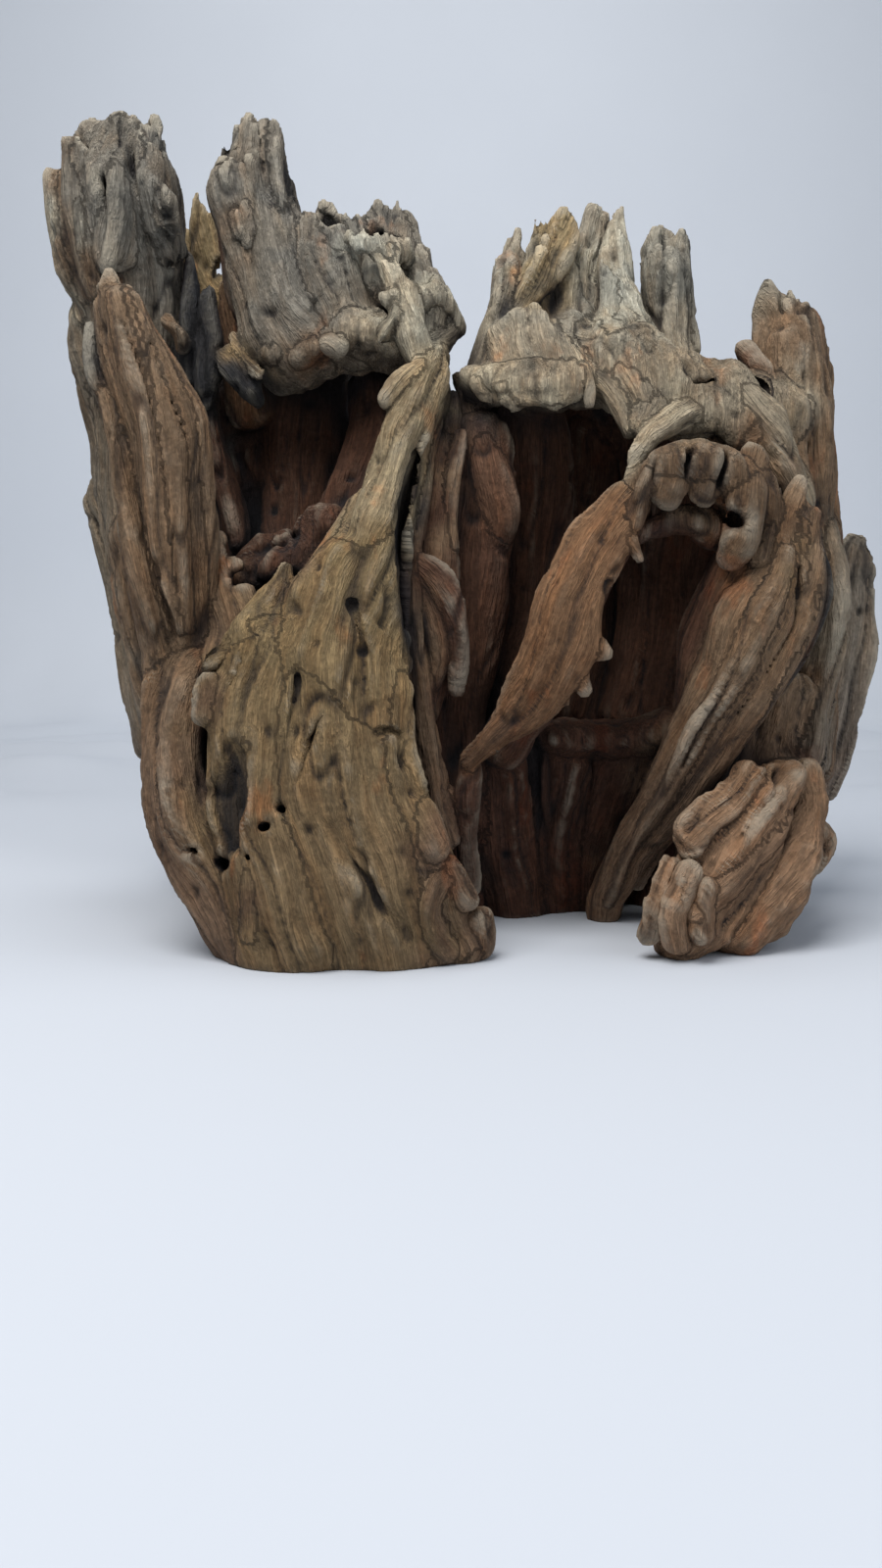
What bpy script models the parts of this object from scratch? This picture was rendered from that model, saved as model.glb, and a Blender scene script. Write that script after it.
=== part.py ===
"""Dry root: one gnarled piece of weathered root wood that stands on its flat-worn base.

Two upright halves grow from one foot. The left half is a hollow shell with a long
splinter at its side and a broad apron in front. The right half is a crest of broken
spires over a deep hollow, with an arched root across it and a slanting limb beside it.
Every swelling of the wood is a lofted spine with oval sections. The spines are fused
by a voxel remesh into one body, thinned to few facets, and then cut by the hollows.
"""
import math

import bmesh
import bpy
from mathutils import Vector

# ---------------------------------------------------------------- driving dimensions, metres
HEIGHT = 0.344              # floor to the highest tip
GRID = HEIGHT / 34.4        # the unit of every station below, 10 mm at this height
VOXEL = 0.0034              # cell of the remesh that fuses the spines
FACETS = 8600               # triangles left after thinning
SIDES = 12                  # corners of one oval section
STEPS = 3                   # sections between two stations of a spine
SOFTENING = 3               # passes of smoothing over the fused body
FLOOR_DEPTH = 0.06          # thickness of the block that trims the base flat

NAME = "dry_root"
BARK_COLOUR = (0.27, 0.20, 0.12, 1.0)
BARK_ROUGHNESS = 0.82

# A spine is (facing, stations). Facing is the direction of the thin axis of its oval.
# A station is (x, y, z, half width, half thickness), in grid units. X runs to the right,
# Y to the back, Z up, and the gap between the two halves lies near X = 0.
FRONT = (0, -1, 0)
BACK = (0, 1, 0)
UP = (0, 0, 1)


def back_of_the_root():
    """Seven fused columns, their ribs, and the bridges that tie them to the front."""
    return [
        ((-0.6, 1, 0), [(-9.6, 4, -1, 2, 2), (-11, 4.6, 6, 2, 2), (-12.4, 5, 12, 1.9, 1.9),
                        (-13.4, 4.4, 18, 1.8, 1.9), (-13.6, 2.6, 26, 1.5, 1.6)]),
        ((-0.3, 1, 0), [(-6.6, 7, -1, 2.2, 2), (-8, 7.8, 7, 2.4, 2.1), (-9.4, 7.4, 14, 2.2, 1.9),
                        (-9.4, 6, 21, 1.9, 1.6), (-9.2, 5, 26, 1.2, 1.1)]),
        (BACK, [(-3.4, 8.6, -1, 2.3, 2.1), (-4.2, 9.2, 8, 2.5, 2.2), (-5, 8.4, 15, 2.3, 2),
                (-5, 6.8, 21, 2, 1.7), (-5, 5.2, 25.5, 1.4, 1.2)]),
        (BACK, [(0.4, 9, -1, 2.3, 2.1), (-0.2, 9.6, 8, 2.4, 2.2), (-0.6, 8.6, 14, 2.2, 1.9),
                (-0.2, 6.2, 21, 1, 1)]),
        ((0.2, 1, 0), [(4, 9.2, -1, 2.4, 2.1), (4.2, 9.8, 8, 2.6, 2.2), (4.4, 8.8, 15, 2.4, 2),
                       (4.6, 7, 21.5, 2.1, 1.7), (4.8, 5.4, 25, 1.2, 1.1)]),
        ((0.4, 1, 0), [(8, 8.2, -1, 2.3, 2), (8.8, 8.8, 8, 2.5, 2.1), (9.4, 7.8, 15, 2.4, 1.9),
                       (9.8, 6, 21, 1.9, 1.6), (10, 4.6, 24.5, 1.2, 1)]),
        ((0.8, 1, 0), [(11.4, 5.4, -1, 2.1, 2), (13.2, 5.8, 6, 2.4, 2.1), (15, 5, 13, 2.2, 1.9),
                       (15.4, 3.6, 19, 1.8, 1.7), (15, 2, 24, 1.3, 1.4)]),
        (BACK, [(-11.4, 6.4, 1, 0.7, 0.6), (-12.4, 7, 8, 0.8, 0.7), (-12.2, 5, 22, 0.6, 0.6)]),
        (BACK, [(-2.4, 10.6, -1, 0.8, 0.6), (-2.2, 11.2, 7, 0.9, 0.7), (-3, 8.6, 20, 0.6, 0.6)]),
        (BACK, [(6.4, 10.4, -1, 0.8, 0.6), (6.6, 11, 8, 0.9, 0.7), (7.4, 7.6, 21, 0.6, 0.6)]),
        (BACK, [(10.4, 8.6, 9, 0.8, 0.8), (11.6, 8.8, 12, 1.2, 1), (12.2, 8, 16, 0.8, 0.8)]),
        (UP, [(-8, 3.4, 24, 1.6, 1.4), (-5.6, 2.2, 25.5, 1.6, 1.5), (-3.4, 0.6, 26.5, 1.2, 1.3)]),
        (UP, [(-9, 2.6, 20, 1.6, 1.5), (-6, 3.4, 21, 1.8, 1.5), (-1.6, 1.4, 18.2, 1.3, 1.3)]),
        (UP, [(4, 3, 24, 1.8, 1.5), (7, 3.6, 23, 1.8, 1.6), (13.2, 1, 23, 1.6, 1.6)]),
        (UP, [(-6, 4.4, 2, 2, 2), (-2, 6, 2.2, 2.4, 2), (3, 6, 2.4, 2.4, 2), (7.4, 4.6, 2.4, 2.2, 2)]),
        ((1, 0, 0), [(-2.6, -3, 0, 1.2, 1.6), (-2.4, -1, 4, 1.3, 1.8), (-2.2, 3, 14, 1.3, 2)]),
    ]


def trunk_between():
    """The thick wood between the front and the back, which fills the foot."""
    return [
        (FRONT, [(-6.4, 4.8, -1, 3.8, 3), (-7, 4.8, 8, 3.8, 2.8), (-7.4, 5.2, 16, 3.2, 2.2), (-7.4, 4.8, 20.5, 2.4, 1.4)]),
        (FRONT, [(0.2, 4.6, -1, 3.8, 3.4), (-0.2, 5, 8, 3.8, 3.2), (-0.6, 4.6, 15, 3.4, 2.8), (-0.6, 3.4, 19, 2.2, 1.8)]),
        (FRONT, [(-0.6, -1.4, -1, 2.4, 2.6), (-0.8, -1.2, 8, 2.4, 2.6), (-0.9, -0.6, 16, 2, 2.2), (-1, 0.2, 20.5, 1.6, 1.6)]),
        (FRONT, [(7, 4.6, -1, 3.8, 3.2), (7.4, 6, 8, 3.8, 2.4), (8, 6.6, 16, 3.6, 1.6)]),
        (FRONT, [(11, 2.4, -1, 2.6, 2.6), (12, 3.4, 7, 3, 2.4), (12.6, 4.8, 15, 2.8, 1.4)]),
        (FRONT, [(-4.6, -2.6, -1, 4.4, 5), (-5, -2.6, 4, 4.4, 4.8), (-5.4, -2.2, 9, 3.8, 3.6)]),
    ]


def flanks_and_plates():
    """The two sides below the crests, and the thin plates that stand off them."""
    return [
        ((-1, 0, 0), [(-8.6, 0.4, -1, 2, 2.2), (-10.2, 0.8, 6, 2, 2.2), (-11.8, 1.2, 12, 1.8, 2),
                      (-12.8, 1.2, 17, 1.6, 1.9)]),
        ((-1, -0.5, 0), [(-7.6, -4, -1, 1.8, 2), (-9, -3.8, 4.5, 1.8, 2), (-10.6, -3.4, 9.5, 1.6, 1.8)]),
        ((1, 0, 0), [(11.6, 1.6, -1, 1.9, 2.2), (13.4, 1.6, 5, 1.8, 2.2), (15, 1.8, 10, 1.5, 2),
                     (15.8, 1.4, 17, 1.2, 1.8)]),
        ((1, -0.4, 0), [(11.6, -2.4, -1, 1.6, 1.8), (12.8, -2.6, 5, 1.6, 2), (14.2, -2.2, 10, 1.3, 1.8)]),
        ((0.5, 1, 0), [(15.4, 5.4, 19.5, 1.6, 1), (16.4, 5.8, 14, 2, 1.2), (16.2, 5.8, 9, 2, 1.4),
                       (14.4, 5.4, 4, 2, 1.7)]),
        ((-0.3, -1, 0), [(-16, 4, 20.2, 0.4, 0.4), (-15.7, 4, 19.3, 1.1, 0.5), (-15, 4, 17, 1.5, 0.6),
                         (-14.4, 3.8, 13.8, 1.4, 0.7), (-12.9, 2.6, 7.3, 1.4, 0.9)]),
        (FRONT, [(20.2, 6, 17.4, 0.8, 0.4), (20.2, 6, 16, 1.4, 0.5), (20, 6, 13, 1.5, 0.6),
                 (19.5, 5.6, 10, 1.6, 0.7), (18, 4.2, 5.4, 1.3, 0.8)]),
    ]


def left_crest():
    """The knobbed block, the second spire, the crater stubs and the star-shaped knot."""
    return [
        (FRONT, [(-13.6, -0.5, 32, 2.3, 2.2), (-13.8, 0, 30, 2.4, 2.4), (-13.5, 0.5, 27.3, 2.1, 2.3),
                 (-13.7, 1.2, 24.5, 2.1, 2.3), (-13.6, 2.4, 18, 1.9, 2.2), (-12.7, 2.5, 12.9, 1.9, 2.2),
                 (-11.4, 1.5, 8.3, 2, 2.4), (-9.9, 0, 4.4, 2, 2.6), (-8.2, -2, 0, 2, 2.6)]),
        (FRONT, [(-15, -0.8, 32.9, 0.8, 1), (-15, -1.2, 30.5, 0.9, 1.2), (-14.6, -1.2, 28, 0.9, 1)]),
        (FRONT, [(-13.5, -0.9, 33.6, 0.7, 1), (-13.3, -1.6, 31.5, 0.8, 1.3), (-13.6, -2, 28.9, 0.7, 1)]),
        (FRONT, [(-12.2, -0.5, 33.6, 0.8, 1), (-11.9, -1.2, 31.7, 0.8, 1.3), (-11.6, -1, 29.8, 0.7, 1)]),
        (FRONT, [(-16.3, -0.4, 32, 0.5, 0.7), (-16.1, -0.6, 30.3, 0.5, 0.9), (-15.4, 0, 27, 0.6, 0.8)]),
        (FRONT, [(-11.4, 0.6, 32, 0.5, 1), (-11.3, 0.5, 28, 0.6, 1), (-10.7, 0.8, 23, 0.8, 1)]),
        (FRONT, [(-15.8, 1, 26.8, 0.6, 1.4), (-16, 1.4, 25.5, 0.7, 1.5), (-15, 2.4, 21.3, 0.9, 1.5),
                 (-14.7, 2.8, 19.2, 1, 1.5)]),
        (FRONT, [(-11, 3.4, 32.6, 0.7, 0.4), (-10.8, 3.4, 30, 1.1, 0.5), (-9.6, 2.8, 27.4, 1.3, 0.6),
                 (-9, 1.6, 23.5, 1, 0.7)]),
        (FRONT, [(-9.3, 1.8, 28, 0.5, 0.4), (-9, 1.4, 25.5, 0.9, 0.5), (-8.4, 0.8, 22.3, 0.9, 0.6)]),
        (FRONT, [(-10.9, -0.4, 28, 0.4, 0.4), (-10.8, -0.6, 25.6, 0.8, 0.6), (-10.3, -0.2, 22, 0.8, 0.7)]),
        (FRONT, [(-9.2, -1.6, 24.4, 0.6, 0.5), (-8.5, -2.2, 23.6, 0.6, 0.5), (-7.9, -2, 22.8, 0.4, 0.4)]),
        (FRONT, [(-7.6, -0.2, 33.8, 0.9, 0.8), (-7.7, -0.4, 32.4, 1.6, 1.1), (-7.6, -0.7, 30.6, 1.8, 1.3),
                 (-7, -1.2, 27.8, 1.95, 1.5), (-6.3, -1.6, 25.7, 2.1, 1.6), (-5.7, -1.6, 24.6, 2.2, 1.5)]),
        (FRONT, [(-7.1, -0.2, 34.0, 0.45, 0.45), (-6.8, -0.8, 32.8, 0.5, 0.6), (-6.5, -1.4, 31, 0.4, 0.5)]),
        (FRONT, [(-5.3, -0.8, 29.6, 0.9, 1.1), (-5, -1.2, 27.9, 1.6, 1.4), (-4.4, -1.5, 25.6, 1.9, 1.5)]),
        (FRONT, [(-4.6, -0.5, 30.6, 1, 0.9), (-4.5, -1.1, 29.5, 1, 1), (-4.3, -1.4, 28.2, 0.9, 0.9)]),
        (FRONT, [(-2.4, 0.2, 30.6, 1.2, 1), (-2.4, -0.8, 29, 1.2, 1.1), (-2.4, -1.4, 27.3, 1.2, 1.1)]),
        (FRONT, [(-1.5, 0.2, 30.8, 0.5, 0.5), (-1.1, 0.2, 29.8, 0.5, 0.8), (-0.9, -0.6, 27.6, 0.6, 0.9)]),
        (FRONT, [(-3.4, -2.8, 28.6, 0.3, 0.3), (-2.6, -3, 28.4, 0.6, 0.4), (-1.5, -2.4, 28.6, 0.5, 0.5)]),
        (FRONT, [(-2.3, -3, 28.2, 0.8, 0.4), (-2.1, -3.6, 27, 0.7, 0.5), (-1.7, -4, 25.6, 1, 0.8),
                 (-1.8, -4.2, 23.6, 0.9, 0.8)]),
        (FRONT, [(-1.8, -3.7, 26.6, 0.6, 0.5), (-0.4, -3.2, 26.5, 0.5, 0.5), (0.7, -2.5, 25.9, 0.4, 0.5),
                 (-0.4, -3.2, 24.4, 0.5, 0.6)]),
        (FRONT, [(-0.9, -1.2, 28.2, 0.6, 0.9), (-0.5, -2, 26.5, 0.9, 1.2), (-0.5, -2.4, 25, 0.7, 1.2)]),
        (FRONT, [(-7.8, -1.6, 24.8, 0.9, 1), (-6, -2.2, 24.5, 0.9, 1.1), (-3.6, -3, 24.5, 0.9, 1.2),
                 (-1.1, -3.2, 24.5, 0.8, 1.1)]),
    ]


def left_hollow_and_apron():
    """The long splinter, the wall inside the hollow, the ridge and the apron below it."""
    return [
        (FRONT, [(-12.1, -3.4, 21.5, 1.2, 1.2), (-11.4, -3.2, 17.6, 1.4, 1.4), (-10.7, -3.2, 13.6, 1.5, 1.6),
                 (-9.9, -4, 9.5, 1.6, 1.8)]),
        ((-0.25, -1, 0), [(-12.8, -5.2, 27, 0.3, 0.3), (-12.8, -5.5, 25.6, 0.8, 0.6), (-11.5, -5.9, 21.8, 1.7, 0.9),
                          (-11, -6.1, 19.9, 1.8, 1), (-10.6, -6.3, 16.3, 1.6, 1.1), (-10.3, -6.2, 12.7, 1.2, 1),
                          (-10.2, -5.8, 11.2, 0.9, 0.8)]),
        (FRONT, [(-13.5, -5.3, 24.6, 0.4, 0.4), (-12.9, -5.8, 21.4, 0.5, 0.5), (-12, -6.4, 16.5, 0.6, 0.6),
                 (-11, -6, 11, 0.5, 0.6)]),
        (FRONT, [(-9.2, -4.8, 16.3, 0.5, 0.5), (-8.7, -5.2, 14.5, 1.1, 0.6), (-8.2, -5.9, 12.7, 1.1, 0.6),
                 (-8.3, -6.6, 11.2, 1, 0.7)]),
        (FRONT, [(-9, 2.6, 23.6, 1.6, 0.8), (-8.8, 2.6, 20, 1.9, 0.9), (-8.6, 1.4, 16.4, 2.1, 1),
                 (-8, -1.5, 13.6, 2, 1.2), (-7.6, -4.4, 11.1, 1.8, 1.2)]),
        (FRONT, [(-6.2, 1.8, 23.8, 1.7, 0.9), (-6.2, 1.6, 20.3, 1.9, 1), (-6.3, 0.3, 17.1, 1.9, 1),
                 (-6.2, -2.6, 14.4, 1.7, 1.1), (-6.1, -5.4, 11.9, 1.6, 1.1)]),
        (FRONT, [(-3.2, 0.2, 23.5, 1.4, 1), (-3.3, -0.4, 20.9, 1.4, 1.1), (-4.1, -2.2, 17.7, 1.4, 1.1),
                 (-4.8, -4.4, 14.7, 1.3, 1.1)]),
        (FRONT, [(-9.9, -0.6, 22.1, 0.4, 0.5), (-9.7, -0.2, 20.5, 0.5, 0.7), (-9, -0.6, 16.2, 0.5, 0.6)]),
        ((0, -0.6, 1), [(-9.1, -3.4, 14.8, 1, 0.6), (-7.7, -3.4, 15.4, 1.3, 0.7), (-6, -3.8, 15.9, 1.2, 0.8),
                        (-4.8, -4, 16.8, 1, 0.8)]),
        (FRONT, [(-0.3, -2.4, 22.3, 0.6, 1.4), (-1.1, -3.4, 19.6, 0.6, 1.8), (-1.7, -4.4, 16.7, 0.6, 1.9),
                 (-2, -6.4, 10.8, 0.7, 1.8)]),
        (FRONT, [(-0.2, -3.2, 23.8, 0.7, 1), (-0.8, -3.9, 22.4, 1.1, 1.2), (-1.8, -4.7, 20.5, 1.45, 1.3),
                 (-2.5, -5.6, 18.1, 1.35, 1.4), (-3.2, -6.5, 15.7, 1.6, 1.5), (-3.8, -7.2, 13.8, 2, 1.6),
                 (-4, -8, 11.6, 2.4, 1.6), (-3.8, -8.6, 9, 2.4, 1.6)]),
        (FRONT, [(-3.7, -4.4, 19.4, 0.6, 0.8), (-4.5, -5.2, 17.2, 0.8, 0.8), (-5.7, -7, 13.7, 1.3, 1)]),
        (FRONT, [(-6.2, -6, 15.9, 0.4, 0.4), (-6.3, -6.8, 14.6, 0.6, 0.6), (-7, -7.9, 11.9, 1.2, 0.9)]),
        (FRONT, [(-6.4, -7.9, 12.3, 1.2, 0.8), (-6.9, -8.3, 10.1, 1.9, 1.2), (-6.8, -8.8, 7.1, 2, 1.4),
                 (-6.3, -9.4, 3.9, 2, 1.5), (-5.4, -9.4, 0, 1.9, 1.5)]),
        (FRONT, [(-4.5, -7.4, 13.4, 1.6, 1), (-4.5, -8.4, 10.4, 2.2, 1.4), (-3.9, -9.3, 6.8, 2.3, 1.5),
                 (-3.1, -9.6, 3.5, 2.3, 1.5), (-2.2, -9.2, 0, 2.2, 1.5)]),
        (FRONT, [(-9.5, -5.9, 11.5, 0.6, 0.7), (-10.3, -6.3, 10.2, 1.1, 1.3), (-10.3, -6.9, 7.3, 1.15, 1.6),
                 (-9.4, -7.5, 4.3, 1.3, 1.8), (-8, -7.9, 1.6, 1.4, 1.8), (-7, -7.9, -1, 1.1, 1.6)]),
        (FRONT, [(-2.2, -8.2, 10.8, 0.7, 1), (-2, -8.8, 8.4, 0.8, 1.2), (-1.5, -9, 5.7, 1.1, 1.3),
                 (-0.4, -8.8, 3, 1.3, 1.4), (0.6, -8.4, 0, 1.2, 1.3)]),
        (FRONT, [(-0.9, -9.6, 5.6, 0.6, 0.6), (-0.4, -9.9, 4.4, 0.7, 0.7), (0.4, -9.6, 3.5, 0.6, 0.6),
                 (0.9, -9.5, 2.5, 0.6, 0.6), (1.4, -9, 1.2, 0.6, 0.7)]),
    ]


def right_crest():
    """The broken spires, the post, the right spire, and the ragged lip over the hollow."""
    return [
        (FRONT, [(3.2, -0.5, 30.2, 0.3, 0.4), (3, -0.9, 28.9, 0.5, 0.6), (2.8, -1.5, 27.1, 0.7, 0.9),
                 (2.5, -2.2, 25.1, 1, 1), (1.9, -3, 23.1, 1, 1)]),
        (FRONT, [(4.7, -0.3, 28.6, 1.1, 1), (4.8, -0.9, 26.9, 1.7, 1.2), (4.9, -1.8, 24.8, 2.1, 1.4),
                 (4.7, -2.8, 23, 2, 1.4)]),
        ((-0.3, -1, 0.2), [(4.8, -1.1, 30.1, 0.9, 0.5), (4.4, -1.7, 28.9, 1.1, 0.6), (3.4, -2.4, 26.6, 0.5, 0.5)]),
        (FRONT, [(6.7, 0.2, 30.8, 0.4, 0.4), (6.5, 0, 29.8, 0.5, 0.6), (6.2, -0.6, 27.9, 0.8, 0.8),
                 (6, -1.2, 26, 1, 1)]),
        (FRONT, [(7.5, -1, 30.1, 0.4, 0.4), (7.5, -1.4, 29, 0.6, 0.6), (7.6, -2, 26.6, 0.8, 0.8),
                 (8.3, -2.8, 24.4, 0.9, 0.9), (8.8, -3.4, 22.9, 0.9, 0.9)]),
        (FRONT, [(6.9, -2.4, 27.6, 0.4, 0.4), (6.9, -3.3, 25.2, 0.5, 0.5), (7.3, -4.2, 22.9, 0.5, 0.5),
                 (7.9, -4.9, 21, 0.5, 0.5)]),
        (FRONT, [(9.6, -0.6, 30.4, 0.9, 0.8), (9.5, -0.8, 28.9, 1, 0.9), (9.6, -0.9, 26.9, 0.9, 0.9),
                 (9.8, -1.4, 24.9, 0.8, 0.9), (10.4, -2.4, 22.9, 0.8, 0.9), (10.9, -3.2, 21.4, 0.8, 0.9)]),
        (FRONT, [(6.1, -2.2, 24.3, 1.5, 1.4), (7.8, -3.2, 22.9, 1.8, 1.5), (10, -3.4, 22, 1.8, 1.5),
                 (12, -2.8, 21.9, 1.7, 1.5), (14.1, -1.8, 21.4, 1.9, 1.6)]),
        (FRONT, [(14.1, -0.8, 27.1, 0.5, 0.6), (14.6, -0.9, 26.1, 1, 0.9), (14.7, -1.2, 24.8, 1.25, 1.1),
                 (14.7, -1.5, 22.7, 1.5, 1.3), (14.9, -1.6, 20.6, 1.55, 1.4), (15.3, -1.5, 18.2, 1.5, 1.5),
                 (15.9, -0.9, 15.3, 1.2, 1.6)]),
        (FRONT, [(15, -0.5, 27.4, 0.3, 0.4), (15.8, -0.2, 26.2, 0.4, 0.6), (16.4, 0, 24.2, 0.4, 0.9),
                 (16.7, 0.2, 21.4, 0.5, 1), (17.1, 0.4, 18, 0.5, 1.1), (17.4, 0.8, 14.6, 0.5, 1.2),
                 (17.2, 0.8, 10.6, 0.7, 1.3), (16.7, 0, 6.7, 0.9, 1.6)]),
        (FRONT, [(9.5, -3.9, 21.7, 0.9, 0.8), (11.4, -4, 21.3, 1, 0.9), (13.2, -3.9, 20, 1, 1),
                 (14.7, -3.2, 18, 1, 1.1)]),
        (FRONT, [(1.4, -3.8, 22.3, 0.5, 0.5), (2.4, -4.6, 22, 0.6, 0.6), (3.5, -5.1, 21.6, 0.7, 0.6),
                 (4.7, -5, 21.4, 0.6, 0.6), (5.5, -4.6, 22, 0.5, 0.5)]),
        (FRONT, [(6, -4, 22.6, 0.5, 0.6), (6.8, -4.6, 21.6, 0.4, 0.5), (7.2, -5, 20.2, 0.4, 0.4)]),
        (FRONT, [(9.8, -4.6, 21.1, 0.7, 0.6), (8.6, -5.3, 20.4, 0.8, 0.6), (7.8, -5.8, 19.4, 0.5, 0.5),
                 (7.4, -6, 18.8, 0.3, 0.3)]),
    ]


def right_hollow_and_feet():
    """The shell, the red walls, the arched root, the slanting limb, the cave and the foot burl."""
    return [
        ((0.35, -1, 0), [(-0.2, -3.7, 21, 0.4, 0.4), (-0.6, -4.1, 20.1, 0.4, 0.5), (-1, -4.6, 18, 0.5, 0.8),
                         (-1.2, -5.2, 13, 0.5, 1), (-1, -5.3, 10, 0.5, 1), (0, -4.6, 4.2, 0.8, 1.2)]),
        (FRONT, [(0.5, -2.2, 22.4, 0.4, 0.4), (0.4, -2.8, 21.2, 0.6, 0.5), (0.1, -3.3, 19, 0.7, 0.6),
                 (-0.2, -4.4, 15, 0.9, 0.6), (-0.6, -4.8, 9.5, 0.8, 0.8)]),
        (FRONT, [(1, -2, 23.3, 0.4, 0.4), (1.3, -2.5, 22.6, 0.5, 0.5), (1.5, -2.9, 21.2, 0.6, 0.6)]),
        (FRONT, [(-1, -5.8, 15.3, 0.4, 0.3), (0, -6.2, 14.4, 0.5, 0.3), (0.7, -6.3, 12.7, 0.4, 0.3),
                 (0.8, -6.1, 11.4, 0.3, 0.3)]),
        (FRONT, [(1.7, -3, 20.8, 0.9, 0.8), (1.5, -2.6, 18.9, 1.4, 0.9), (1.3, -2.4, 16.1, 1.6, 1),
                 (1, -2.6, 12.3, 1.6, 1.1), (0.6, -3, 8.6, 1.4, 1.2), (0.6, -3.2, 4.9, 1.2, 1.3),
                 (0.6, -3.2, 0, 1.2, 1.3)]),
        (FRONT, [(3.6, -1.2, 22.8, 1.6, 1), (3.6, -0.6, 20, 1.8, 1), (3.4, 0.2, 16.3, 1.9, 1.1),
                 (2.9, 0.2, 12.4, 1.9, 1.1), (2.2, -0.8, 8.5, 1.7, 1.2), (1.8, -1.6, 4.2, 1.4, 1.2)]),
        (FRONT, [(6.6, 3, 22.8, 1.9, 1.1), (6.6, 4.4, 18.5, 2.1, 1.2), (6, 5, 13.9, 2.2, 1.2),
                 (5.2, 4, 9.1, 2.2, 1.3)]),
        (FRONT, [(10.6, 1.6, 22.1, 2.2, 1.2), (11, 3.2, 18.3, 2.4, 1.3), (10.8, 4, 13.8, 2.4, 1.3),
                 (9.8, 3, 8.7, 2.4, 1.4)]),
        (FRONT, [(14.2, 1.6, 20.3, 1.8, 1.2), (14.5, 2.4, 16.5, 2, 1.3), (14.2, 2.4, 11.9, 2, 1.4),
                 (13.4, 1.4, 7.4, 2, 1.5)]),
        (FRONT, [(1.6, -3.8, 20.3, 0.3, 0.3), (1.9, -3.9, 18.7, 0.5, 0.4), (2.4, -3.4, 17, 0.4, 0.4)]),
        (FRONT, [(7.8, -6.3, 18, 0.8, 0.9), (8.6, -6.6, 18.5, 1, 1), (9.6, -6.8, 18.6, 1.1, 1.1),
                 (10.8, -6.7, 18.4, 1.1, 1.1), (11.9, -6.4, 17.8, 1.1, 1.1), (12.6, -5.7, 16.5, 1, 1)]),
        (FRONT, [(12, -6.4, 19, 0.6, 0.6), (11.6, -7, 17.7, 0.8, 0.6), (11.3, -6.8, 16, 0.6, 0.5)]),
        ((-0.35, -1, 0), [(7.3, -6.4, 17.4, 0.9, 0.6), (6.2, -6.8, 15.8, 1.2, 0.6), (5.2, -7.1, 13.7, 1.4, 0.6),
                          (4.8, -7.1, 12.2, 1.4, 0.6), (4, -6.9, 10.7, 1.3, 0.6), (3, -6.5, 9.3, 1, 0.5),
                          (2, -6.1, 8.3, 0.7, 0.5), (1.1, -5.6, 7.4, 0.5, 0.5)]),
        (FRONT, [(7.5, -5, 17, 0.8, 1.2), (5.9, -5.2, 14.3, 0.9, 1.3), (4.4, -4.8, 11.1, 0.9, 1.3),
                 (2.5, -4, 7.9, 0.9, 1.2)]),
        (FRONT, [(1.1, -5.2, 7.2, 0.5, 0.5), (1, -5.1, 5.8, 0.6, 0.5), (1.1, -4.7, 4.3, 0.6, 0.5),
                 (1.3, -4.2, 2, 0.4, 0.4)]),
        (FRONT, [(12.6, -5.2, 16.4, 0.9, 1.1), (11.9, -5, 14.3, 1.1, 1.3), (11.4, -4.6, 11.9, 1.1, 1.4),
                 (10.9, -4, 9.5, 1, 1.4)]),
        (FRONT, [(4.7, -2.4, 8.1, 0.7, 1), (6.4, -2, 8.1, 0.8, 1.2), (8.1, -2, 8.1, 0.8, 1.2),
                 (9.7, -2.6, 8.5, 0.8, 1.2)]),
        (FRONT, [(14.1, -5.7, 18.3, 0.3, 0.3), (14, -5.8, 16.9, 0.9, 0.9), (13.5, -6.2, 15.2, 1.3, 1.2),
                 (12.6, -6.6, 12.9, 1.8, 1.4), (11.9, -6.4, 10.5, 1.7, 1.4), (10.7, -5.6, 8.1, 1.5, 1.3),
                 (9.1, -4.3, 5.3, 1.1, 1.2), (8, -3.2, 3.1, 1, 1), (7.3, -2.2, 0.8, 0.9, 0.9),
                 (7.1, -1.8, -0.6, 0.8, 0.9)]),
        (FRONT, [(14.5, -5.9, 16.5, 0.4, 0.4), (14.7, -6.2, 14.4, 0.5, 0.5), (13.9, -6.4, 11.5, 0.5, 0.5),
                 (12.6, -6.2, 9, 0.5, 0.5)]),
        (FRONT, [(16.7, -1, 17, 0.6, 1.6), (16.9, -0.6, 13.7, 0.6, 1.9), (16.2, -1, 10.2, 0.8, 2),
                 (15.6, -2, 7.5, 1, 2), (14.7, -3, 4.8, 1.1, 1.8)]),
        (FRONT, [(14.5, -3.6, 6.2, 1.2, 1.6), (13.8, -3.6, 3.7, 1.5, 1.8), (12.8, -4, 0, 1.5, 1.8)]),
        (FRONT, [(13.5, -6.4, 6.4, 1, 1.1), (12.2, -7.1, 5, 1.4, 1.4), (11.1, -7.7, 3.3, 1.7, 1.5),
                 (10, -8.1, 1.7, 1.6, 1.5), (9.2, -8.1, 0, 1.3, 1.4)]),
        (FRONT, [(15, -5.4, 7, 0.5, 0.8), (15.1, -5.7, 5.2, 0.7, 1.1), (14.4, -6.2, 3.8, 1, 1.3),
                 (12.9, -7, 2.2, 1.2, 1.4), (11.4, -7.5, 0, 1.2, 1.3)]),
        (FRONT, [(2.3, -2.6, 7.3, 1.2, 1.1), (2.7, -1.8, 4.2, 1.3, 1.2), (3.3, -0.6, -0.6, 1.3, 1.3)]),
        (FRONT, [(5.2, -1.4, 7.4, 1.3, 1.1), (5, -0.8, 4.1, 1.4, 1.2), (5, 0.4, -0.6, 1.4, 1.3)]),
        (FRONT, [(8.2, -1.4, 7.7, 1.3, 1.1), (7.7, -0.6, 4.5, 1.4, 1.2), (6.8, 0.8, -0.6, 1.4, 1.3)]),
    ]


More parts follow.
